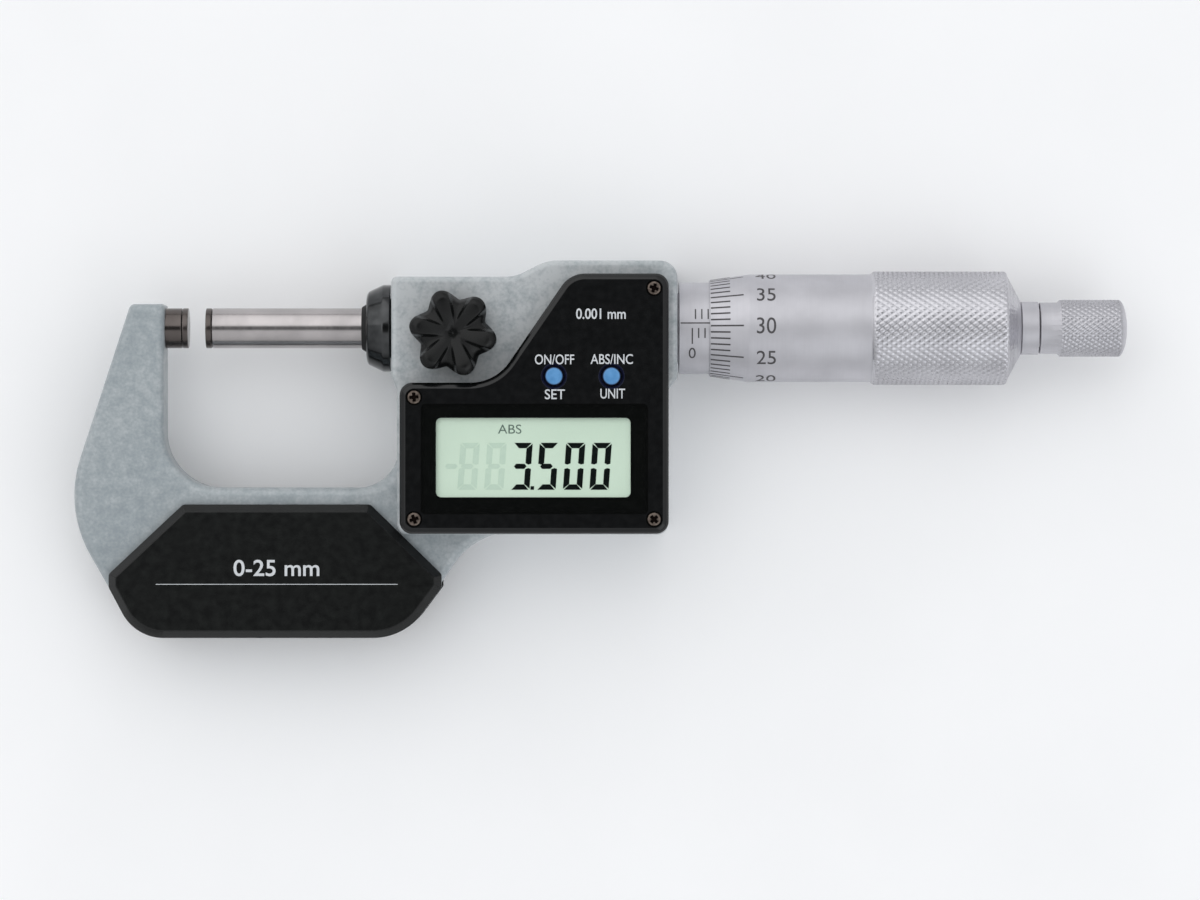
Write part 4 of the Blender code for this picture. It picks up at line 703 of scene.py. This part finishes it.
def make_window(looks):
    top = 12.95 * MM
    plate = stack("clear_plate", box_corners(WINDOW_CENTRE, (35.2 * MM, 16.9 * MM), WINDOW_CORNER),
                  [(12.15 * MM, 0), (top - 0.1 * MM, 0), (top, 0.1 * MM)])
    dress(plate, looks["clear"], "root", ["window"])
    glass = stack("display_panel", box_corners(WINDOW_CENTRE, (33.0 * MM, 15.6 * MM), 0.3 * MM),
                  [(9.5 * MM, 0), (LCD_TOP_Z, 0)])
    dress(glass, looks["display"], "root", ["lcd"])
    low, high = LCD_TOP_Z + 0.02 * MM, LCD_TOP_Z + 0.08 * MM
    border = stack("display_border", box_corners(WINDOW_CENTRE, (31.9 * MM, 13.9 * MM), WINDOW_CORNER),
                   [(low, 0), (high, 0)])
    seen = (WINDOW_CENTRE[0] - 0.2 * MM, WINDOW_CENTRE[1] + 0.22 * MM)
    carve(border, stack("seen", box_corners(seen, (30.5 * MM, 12.45 * MM), WINDOW_CORNER),
                        [(low - OVERRUN, 0), (high + OVERRUN, 0)]))
    dress(border, looks["cover"], "root", smooth=False)


# digits and letters

SEGMENTS = {"0": "abcdef", "3": "abcdg", "5": "acdfg", "8": "abcdefg", "-": "g"}
DIGIT_HEIGHT = 7.35 * MM
DIGIT_WIDTH = 3.0 * MM
BAR = 0.84 * MM
SLANT = 0.07
LETTER_THICKNESS = 0.02 * MM


def segment_outline(which):
    """Corner points of one bar of a digit, with mitred ends."""
    gap = 0.07 * MM
    high, wide, bar = DIGIT_HEIGHT, DIGIT_WIDTH, BAR
    half = high / 2
    if which == "g":
        rise = 0.47 * bar
        left, right = 0.75 * bar, wide - 1.25 * bar
        return [(gap + 0.3 * bar, half), (left, half + rise), (right, half + rise),
                (wide - 0.85 * bar, half), (right, half - rise), (left, half - rise)]
    tip = gap + 0.1 * bar
    if which in "ad":
        points = [(tip, 0), (wide - tip, 0), (wide - bar - gap, bar), (bar + gap, bar)]
        return points if which == "d" else [(x, high - y) for x, y in reversed(points)]
    side = 1.08 * bar
    points = [(0, tip), (side, bar + gap), (side, half - 0.5 * bar - gap),
              (0.5 * side, half - 0.24 * bar - gap), (0, half - gap - 0.4 * bar)]
    if which in "bf":
        points = [(x, high - y) for x, y in points]
    if which in "bc":
        points = [(wide - x, y) for x, y in points]
    return points


def thin_prisms(name, outlines, base, thickness):
    """Flat shapes raised a hair over a face."""
    bm = bmesh.new()
    for outline in outlines:
        low = [bm.verts.new((x, y, base)) for x, y in outline]
        high = [bm.verts.new((x, y, base + thickness)) for x, y in outline]
        skin(bm, [low, high])
    return new_object(name, bm)


def place_digit(character, x, y):
    return [[(x + px + py * SLANT, y + py) for px, py in segment_outline(which)]
            for which in SEGMENTS[character]]


def make_digits(looks):
    low = -25.55 * MM
    places = ((51.2, "3"), (55.3, "5"), (59.45, "0"), (63.6, "0"))
    shapes = []
    for x, character in places:
        shapes += place_digit(character, x * MM, low)
    dot, side = 54.35 * MM, 0.55 * MM
    shapes.append([(dot, low), (dot + side, low), (dot + side + SLANT * side, low + side),
                   (dot + SLANT * side, low + side)])
    lift = LCD_TOP_Z + 0.01 * MM
    dress(thin_prisms("display_digits", shapes, lift, 0.03 * MM), looks["segment"], "root",
          smooth=False)
    shapes = []
    for x, character in ((40.4, "-"), (42.9, "8"), (47.1, "8")):
        shapes += place_digit(character, x * MM, low)
    dress(thin_prisms("display_faint_digits", shapes, lift, 0.02 * MM), looks["ghost"], "root",
          smooth=False)


def letters(name, text, size, squeeze=1.0, bold=0.0):
    """Text as a mesh around its own centre, facing +Z."""
    curve = bpy.data.curves.new(name, "FONT")
    curve.body = text
    curve.size = size
    curve.extrude = LETTER_THICKNESS / 2
    curve.offset = bold
    curve.align_x = "CENTER"
    curve.align_y = "CENTER"
    curve.resolution_u = 6
    source = bpy.data.objects.new(name + "_source", curve)
    bpy.context.scene.collection.objects.link(source)
    shown = source.evaluated_get(bpy.context.evaluated_depsgraph_get())
    mesh = bpy.data.meshes.new_from_object(shown)
    bpy.data.objects.remove(source)
    mesh.transform(Matrix.Diagonal((squeeze, 1.0, 1.0, 1.0)))
    xs = [v.co.x for v in mesh.vertices]
    ys = [v.co.y for v in mesh.vertices]
    mesh.transform(Matrix.Translation((-(min(xs) + max(xs)) / 2, -(min(ys) + max(ys)) / 2, 0)))
    return mesh


def join_meshes(name, meshes):
    bm = bmesh.new()
    for mesh in meshes:
        bm.from_mesh(mesh)
    made = bpy.data.meshes.new(name)
    bm.to_mesh(made)
    bm.free()
    piece = bpy.data.objects.new(name, made)
    bpy.context.scene.collection.objects.link(piece)
    return piece


def flat_text(text, size, x, y, z, squeeze=1.0, bold=0.0):
    mesh = letters("text", text, size, squeeze=squeeze, bold=bold)
    mesh.transform(Matrix.Translation((x, y, z + 0.015 * MM)))
    return mesh


def make_labels(looks):
    top = COVER_TOP_Z
    words = (("ON/OFF", 58.15, -5.15, 0.78), ("SET", 58.2, -10.6, 0.94),
             ("ABS/INC", 67.1, -5.1, 0.82), ("UNIT", 67.25, -10.5, 0.77))
    meshes = [flat_text(text, 2.2 * MM, x * MM, y * MM, top, squeeze, 0.015 * MM)
              for text, x, y, squeeze in words]
    meshes.append(flat_text("0.001 mm", 2.3 * MM, 65.4 * MM, 2.0 * MM, top, 0.85, 0.03 * MM))
    dress(join_meshes("cover_lettering", meshes), looks["label"], "root", smooth=False)
    mesh = flat_text("ABS", 2.05 * MM, 51.1 * MM, -16.05 * MM, LCD_TOP_Z, 1.08)
    dress(join_meshes("display_lettering", [mesh]), looks["small_ink"], "root",
          smooth=False)


# scales on the sleeve and the thimble


def on_ring(along, radius, around):
    return (along, radius * math.sin(around), radius * math.cos(around))


def wrapped(mesh, x, angle, radius_at):
    """Bend a flat text mesh around the measuring line, in thin slices across its height."""
    bm = bmesh.new()
    bm.from_mesh(mesh)
    height = max(v.co.y for v in bm.verts) - min(v.co.y for v in bm.verts)
    cuts = max(2, int(height / (0.22 * MM)))
    low = min(v.co.y for v in bm.verts)
    for step in range(1, cuts):
        geometry = bm.verts[:] + bm.edges[:] + bm.faces[:]
        bmesh.ops.bisect_plane(bm, geom=geometry, plane_co=(0, low + height * step / cuts, 0),
                               plane_no=(0, 1, 0), dist=1e-9)
    for vert in bm.verts:
        along = x + vert.co.x
        radius = radius_at(along)
        around = angle + vert.co.y / radius
        vert.co = on_ring(along, radius + vert.co.z + 0.014 * MM, around)
    made = bpy.data.meshes.new("wrapped")
    bm.to_mesh(made)
    bm.free()
    return made


def bar_on_axis(bm, start, end, angle, width, radius_at):
    """A thin line along X on a turned face."""
    rows = []
    for along in (start, end):
        row = []
        for side in (-1, 1):
            for lift in (0.004 * MM, 0.02 * MM):
                radius = radius_at(along) + lift
                around = angle + side * width / 2 / radius
                row.append(bm.verts.new(on_ring(along, radius, around)))
        rows.append([row[0], row[2], row[3], row[1]])
    skin(bm, rows)


def bar_around(bm, along, start, end, width, radius_at):
    """A thin line around the axis on a turned face."""
    steps = max(2, math.ceil(abs(end - start) / math.radians(3)))
    rows = []
    for step in range(steps + 1):
        around = start + (end - start) * step / steps
        row = []
        for side, lift in ((-1, 0.006), (1, 0.006), (1, 0.022), (-1, 0.022)):
            x = along + side * width / 2
            radius = radius_at(x) + lift * MM
            row.append(bm.verts.new(on_ring(x, radius, around)))
        rows.append(row)
    skin(bm, rows)


def thimble_radius(x):
    share = max(0.0, min(1.0, (x - THIMBLE_EDGE_X) / THIMBLE_CONE))
    return THIMBLE_FOOT + (THIMBLE_RADIUS - THIMBLE_FOOT) * share


def thimble_angle(mark):
    """Where one of the thimble's 50 marks stands; 30 is the one nearest to the index line."""
    return THIRTY_ANGLE + math.radians(7.2) * (mark - 30)


def make_thimble_scale(looks):
    bm = bmesh.new()
    start = THIMBLE_EDGE_X + 0.12 * MM
    for mark in range(50):
        end = THIMBLE_EDGE_X + (5.3 * MM if mark % 5 == 0 else 3.2 * MM)
        bar_on_axis(bm, start, end, thimble_angle(mark), 0.25 * MM, thimble_radius)
    dress(new_object("thimble_lines", bm), looks["mark"], "spindle_body", smooth=False)
    meshes = []
    for figure in range(0, 50, 5):
        mesh = letters("figure", str(figure), 3.65 * MM, squeeze=0.92)
        meshes.append(wrapped(mesh, 91.45 * MM, thimble_angle(figure), thimble_radius))
    dress(join_meshes("thimble_figures", meshes), looks["mark"], "spindle_body",
          smooth=False)


def make_sleeve_scale(looks):
    def radius_at(x):
        return SLEEVE_RADIUS

    width = 0.21 * MM
    figures_angle = math.radians(-34)
    bm = bmesh.new()
    bar_on_axis(bm, 77.95 * MM, ZERO_LINE_X + 25.4 * MM, INDEX_ANGLE, 0.2 * MM, radius_at)
    for tick in range(26):
        x = ZERO_LINE_X + tick * MM
        end = math.radians(-21 if tick % 5 == 0 else -13.4)
        bar_around(bm, x, math.radians(-0.9), end, width, radius_at)
        if tick < 25:
            half = x + 0.5 * MM
            bar_around(bm, half, math.radians(10.4), math.radians(23.4), width, radius_at)
    dress(new_object("sleeve_lines", bm), looks["mark"], "root", smooth=False)
    meshes = []
    for figure in range(0, 26, 5):
        mesh = letters("figure", str(figure), 2.8 * MM, squeeze=0.9)
        meshes.append(wrapped(mesh, ZERO_LINE_X + figure * MM, figures_angle, radius_at))
    dress(join_meshes("sleeve_figures", meshes), looks["mark"], "root", smooth=False)


# sleeve, thimble, ratchet


KNURL_FLOOR = 4.2 * MM     # what lies nearer to the axis is a bore


def knurl(count, length, depth, start, end, fade):
    """Depth of a diamond knurl: count diamonds around, each so long, faded at both ends."""
    def ripple(along, angle):
        if not start < along < end:
            return 0.0
        turns = count * angle / math.tau
        rows = (along - start) / length
        first = abs((turns + rows) % 1.0 - 0.5) * 2
        second = abs((turns - rows) % 1.0 - 0.5) * 2
        rise = min(1 - first, 1 - second)
        rise = min(1.0, rise * 1.35)
        rise = rise * (1.6 - 0.6 * rise)
        near = min(1.0, (along - start) / fade, (end - along) / fade)
        return -depth * (1 - rise) * near
    return ripple


def shine_knurl(piece, look, start, end):
    """The crisp rolled faces between two places catch more light than the satin ones."""
    piece.data.materials.append(look)
    for face in piece.data.polygons:
        radius = math.hypot(face.center.y, face.center.z)
        face.material_index = int(start < face.center.x < end and radius > KNURL_FLOOR)


def spaced(start, end, step, radius):
    count = round((end - start) / step)
    return [(start + (end - start) * index / count, radius) for index in range(count + 1)]


def make_sleeve(looks):
    profile = in_mm((77.75, 5.9), (77.75, 7.2), (77.8, 7.25), (111.6, 7.25), (112.0, 6.85),
                    (112.0, 5.9))
    sleeve = turned("scale_sleeve", profile, 180)
    dress(sleeve, looks["satin"], "root", ["outer_sleeve"])


def make_thimble(looks):
    edge = THIMBLE_EDGE_X
    start = edge + 26.1 * MM
    end = edge + 46.6 * MM
    hole = SPINDLE_RADIUS + FIT_GAP
    length = 1.47 * MM
    top = 9.0 * MM
    profile = along_from(edge, (0, 7.4), (0, 7.58), (0.05, 7.627), (5.9, 8.49), (6.15, 8.52),
                         (6.45, 8.53))
    profile += along_from(start, (-0.65, 8.53), (-0.6, 8.54), (-0.45, 8.68), (-0.25, 8.84),
                          (-0.05, 8.97))
    profile += spaced(start, end, length / 6, top)
    profile += along_from(end, (0.1, 8.99), (0.3, 8.9), (0.45, 8.75))
    profile += along_from(edge, (47.3, 8.1), (47.42, 7.86))
    cone, foot = along_from(edge, (47.5, 7.7), (49.24, 4.46))
    steps = 12
    profile += [tuple(a + (b - a) * step / steps for a, b in zip(cone, foot))
                for step in range(steps + 1)]
    floor = edge + 43.0 * MM
    profile += [(THIMBLE_END_X, 4.3 * MM), (THIMBLE_END_X, hole), (floor, hole),
                (floor, 7.4 * MM)]
    rolled = (start - length / 3, edge + 48.6 * MM)
    ripple = knurl(56, length, 0.165 * MM, *rolled, 0.6 * MM)
    body = turned("knurled_thimble", profile, 336, ripple=ripple)
    dress(body, looks["satin"], "spindle_body", ["thimble"], 40.0)
    shine_knurl(body, looks["knurl"], *rolled)


def make_ratchet(looks):
    neck, stem = 132.0 * MM, 1.6 * MM
    neck_end = 134.75 * MM
    body = turned("ratchet_neck", [
        (126.0 * MM, 0.0), (126.0 * MM, stem), (neck, stem), (neck, 4.1 * MM),
        (neck + 0.1 * MM, 4.2 * MM), (neck_end - 0.08 * MM, 4.2 * MM), (neck_end, 4.12 * MM),
        (neck_end, stem),
        (144.8 * MM, stem), (144.8 * MM, 0.0)])
    dress(body, looks["satin"], "spindle_body", ["ratchet_body"])
    start = 134.95 * MM
    ring = start + 2.8 * MM
    end = start + 13.9 * MM
    dome_length, radius = 1.4 * MM, 4.52 * MM
    crown = end - dome_length
    dome = [(crown + dome_length * math.sin(a), radius * math.cos(a))
            for a in (math.pi / 2 * step / 12 for step in range(1, 12))]
    grip = ring + 0.6 * MM
    rolled = (ring + 0.3 * MM, crown + 0.8 * MM)
    profile = along_from(start, (0, 3.3), (0, 3.98), (0.1, 4.08))
    profile += along_from(ring, (0, 4.08), (0.45, 4.47), (0.55, 4.52))
    profile += spaced(grip, crown, 0.16 * MM, radius) + dome
    profile += along_from(end, (0, 0), (-1.3, 0), (-1.3, 2.9), (-1.7, 3.3))
    ripple = knurl(34, 1.2 * MM, 0.16 * MM, *rolled, 0.3 * MM)
    cap = turned("ratchet_grip", profile, 264, ripple=ripple)
    dress(cap, looks["satin"], "ratchet", ["ratchet_cap"], 40.0)
    shine_knurl(cap, looks["grip_knurl"], *rolled)


# buttons, battery cap, plates


def make_buttons(looks):
    crown = COVER_TOP_Z + 0.3 * MM
    radius = 1.44 * MM
    lip = FUNNEL_RADIUS + 0.03 * MM
    flange, flange_top, flange_base = 2.2 * MM, 11.2 * MM, 10.7 * MM
    foot = 9.0 * MM
    names = (("left", "button_on_off"), ("right", "button_unit"))
    for (name, body), x in zip(names, BUTTON_X):
        rounding = [(crown - drop * 0.7, radius - inset) for inset, drop in quarter(0.5 * MM, 8)]
        button = turned(f"{name}_key", [
            (foot, 0.0), (foot, 0.8 * MM), (flange_base, 0.8 * MM), (flange_base, flange),
            (flange_top, flange), (flange_top, radius), *rounding, (crown, 0.0)],
            64, (x, BUTTON_Y))
        dress(button, looks["blue"], body, [f"button_{name}"])
        # a thin dark blue lining in the cover's funnel: painted shade round the button
        funnel = turned(f"{name}_key_funnel_shade", [
            (COVER_TOP_Z - 0.33 * MM, 1.66 * MM), (COVER_TOP_Z - 0.3 * MM, 1.66 * MM),
            (COVER_TOP_Z + 0.02 * MM, FUNNEL_RADIUS), (COVER_TOP_Z + 0.02 * MM, lip),
            (COVER_TOP_Z + 0.005 * MM, lip)], 64, (x, BUTTON_Y))
        dress(funnel, looks["funnel_shade"], "root")


def make_battery_cap(looks):
    face, head = -9.35 * MM, -8.15 * MM
    cap = turned("coin_cap", [
        (face, 0.0), (face, 7.3 * MM), (face + 0.09 * MM, 7.51 * MM), (face + 0.3 * MM, 7.6 * MM),
        (head, 7.6 * MM), (head, 6.6 * MM), (-6.25 * MM, 6.6 * MM), (-6.25 * MM, 6.0 * MM),
        (-7.05 * MM, 6.0 * MM), (-7.05 * MM, 0.0)], 128, CELL)
    slot = stack("coin_slot", box_corners(CELL, (11.0 * MM, 1.5 * MM), 0.3 * MM),
                 [(face - OVERRUN, 0), (face + 0.8 * MM, 0)])
    carve(cap, slot)
    dress(cap, looks["coin_cap"], "cap", ["battery_cap"])


def make_plates(looks):
    inner, outer, chamfer = 5.0 * MM, 7.05 * MM, 1.2 * MM
    soft = 0.15 * MM
    levels = [(inner, 0.08 * MM), (inner + 0.08 * MM, 0), (outer - chamfer - soft, 0),
              (outer - chamfer, 0.02 * MM), (outer - chamfer + soft, 0.17 * MM),
              (outer - soft, chamfer - soft), (outer - 0.02 * MM, chamfer), (outer, chamfer + soft)]
    front = stack("front_plate", PLATE_CORNERS, levels)
    dress(front, looks["grip"], "root", ["grip_plate_front"], 28.0)
    rear = stack("rear_plate", PLATE_CORNERS, [(-z, inset) for z, inset in reversed(levels)])
    dress(rear, looks["grip"], "root", ["grip_plate_rear"], 28.0)
    line = thin_prisms("plate_line", [[(-4.7 * MM, -40.52 * MM), (33.4 * MM, -40.52 * MM),
                                       (33.4 * MM, -40.42 * MM), (-4.7 * MM, -40.42 * MM)]],
                       outer + 0.005 * MM, 0.02 * MM)
    dress(line, looks["label"], "root", smooth=False)
    mesh = flat_text("0-25 mm", 3.6 * MM, 14.3 * MM, -37.9 * MM, outer, 1.05, 0.04 * MM)
    dress(join_meshes("plate_lettering", [mesh]), looks["label"], "root", smooth=False)


INNER_LOOKS = {
    "satin": ("inner_sleeve",),
    "steel": ("clamp_stud", "adjusting_nut", "rotor_key", "ratchet_clutch", "ratchet_spring",
              "ratchet_clip"),
    "brass": ("clamp_pin", "rotor_bush"),
    "rubber": ("cover_gasket", "zebra_strip_lower", "zebra_strip_upper", "cap_o_ring"),
    "board": ("circuit_board", "encoder_rotor", "encoder_stator"),
    "inner_black": ("switch_left", "switch_right", "battery_holder"),
    "nickel": ("battery", "battery_contact"),
}


def dress_inner_nodes(looks):
    for look, nodes in INNER_LOOKS.items():
        for node in nodes:
            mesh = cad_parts[node].data
            mesh.materials.clear()
            mesh.materials.append(looks[look])


# studio

AIM = (0.065, -0.02, 0.0)
CAMERA_PLACE = (0.06526, -0.01932, 0.9)
CAMERA_LENS = 170.1


def area_light(name, place, side, power, color):
    """A square lamp turned to the middle of the gauge."""
    data = bpy.data.lights.new(name, "AREA")
    data.shape = "SQUARE"
    data.size = side
    data.energy = power
    data.color = color
    lamp = bpy.data.objects.new(name, data)
    bpy.context.scene.collection.objects.link(lamp)
    lamp.location = place
    lamp.rotation_euler = (Vector(AIM) - Vector(place)).to_track_quat("-Z", "Y").to_euler()


def sky_light(tree):
    """Soft light all round, a little stronger from the top of the picture and dimmer overhead."""
    place = tree.nodes.new("ShaderNodeTexCoord").outputs["Generated"]
    split = tree.nodes.new("ShaderNodeSeparateXYZ")
    tree.links.new(place, split.inputs["Vector"])
    levels = ((0.0, 0.43), (0.3, 0.76), (0.6, 0.9), (0.88, 0.96), (0.965, 0.9), (0.985, 0.17),
              (1.0, 0.08))
    stops = [(at, (level * 0.97, level * 0.985, level, 1.0)) for at, level in levels]
    background = tree.nodes["Background"]
    feed(tree, background.inputs["Color"], color_ramp(tree, split.outputs["Z"], stops))
    feed(tree, background.inputs["Strength"], multiply_add(tree, split.outputs["Y"], 0.12, 0.93))


def make_studio():
    bm = bmesh.new()
    bmesh.ops.create_grid(bm, x_segments=1, y_segments=1, size=3.0)
    bmesh.ops.translate(bm, verts=bm.verts, vec=(*AIM[:2], BACK_Z - 0.02 * MM))
    floor = new_object("studio_floor", bm)
    floor.data.materials.append(floor_look())
    world = bpy.data.worlds.new("studio_air")
    bpy.context.scene.world = world
    world.use_nodes = True
    sky_light(world.node_tree)
    area_light("key_light", (-0.35, 0.55, 0.6), 1.3, 2.7, (1.0, 0.99, 0.975))
    area_light("fill_light", (0.6, -0.6, 0.6), 0.8, 1.4, (0.94, 0.97, 1.0))
    data = bpy.data.cameras.new("camera")
    data.lens = CAMERA_LENS
    data.sensor_width = 36.0
    data.clip_start = 0.01
    data.clip_end = 20.0
    camera = bpy.data.objects.new("camera", data)
    camera.location = CAMERA_PLACE
    bpy.context.scene.collection.objects.link(camera)
    bpy.context.scene.camera = camera
    bpy.context.scene.view_settings.view_transform = "Standard"
    bpy.context.scene.view_settings.look = "None"


def main():
    looks = make_looks()
    for maker in (make_frame, make_faces, make_spindle, make_seal, make_knob, make_cover,
                  make_cover_screws, make_window, make_digits, make_labels, make_sleeve,
                  make_sleeve_scale, make_thimble, make_thimble_scale, make_ratchet,
                  make_buttons, make_battery_cap, make_plates, dress_inner_nodes):
        maker(looks)
    make_studio()


main()
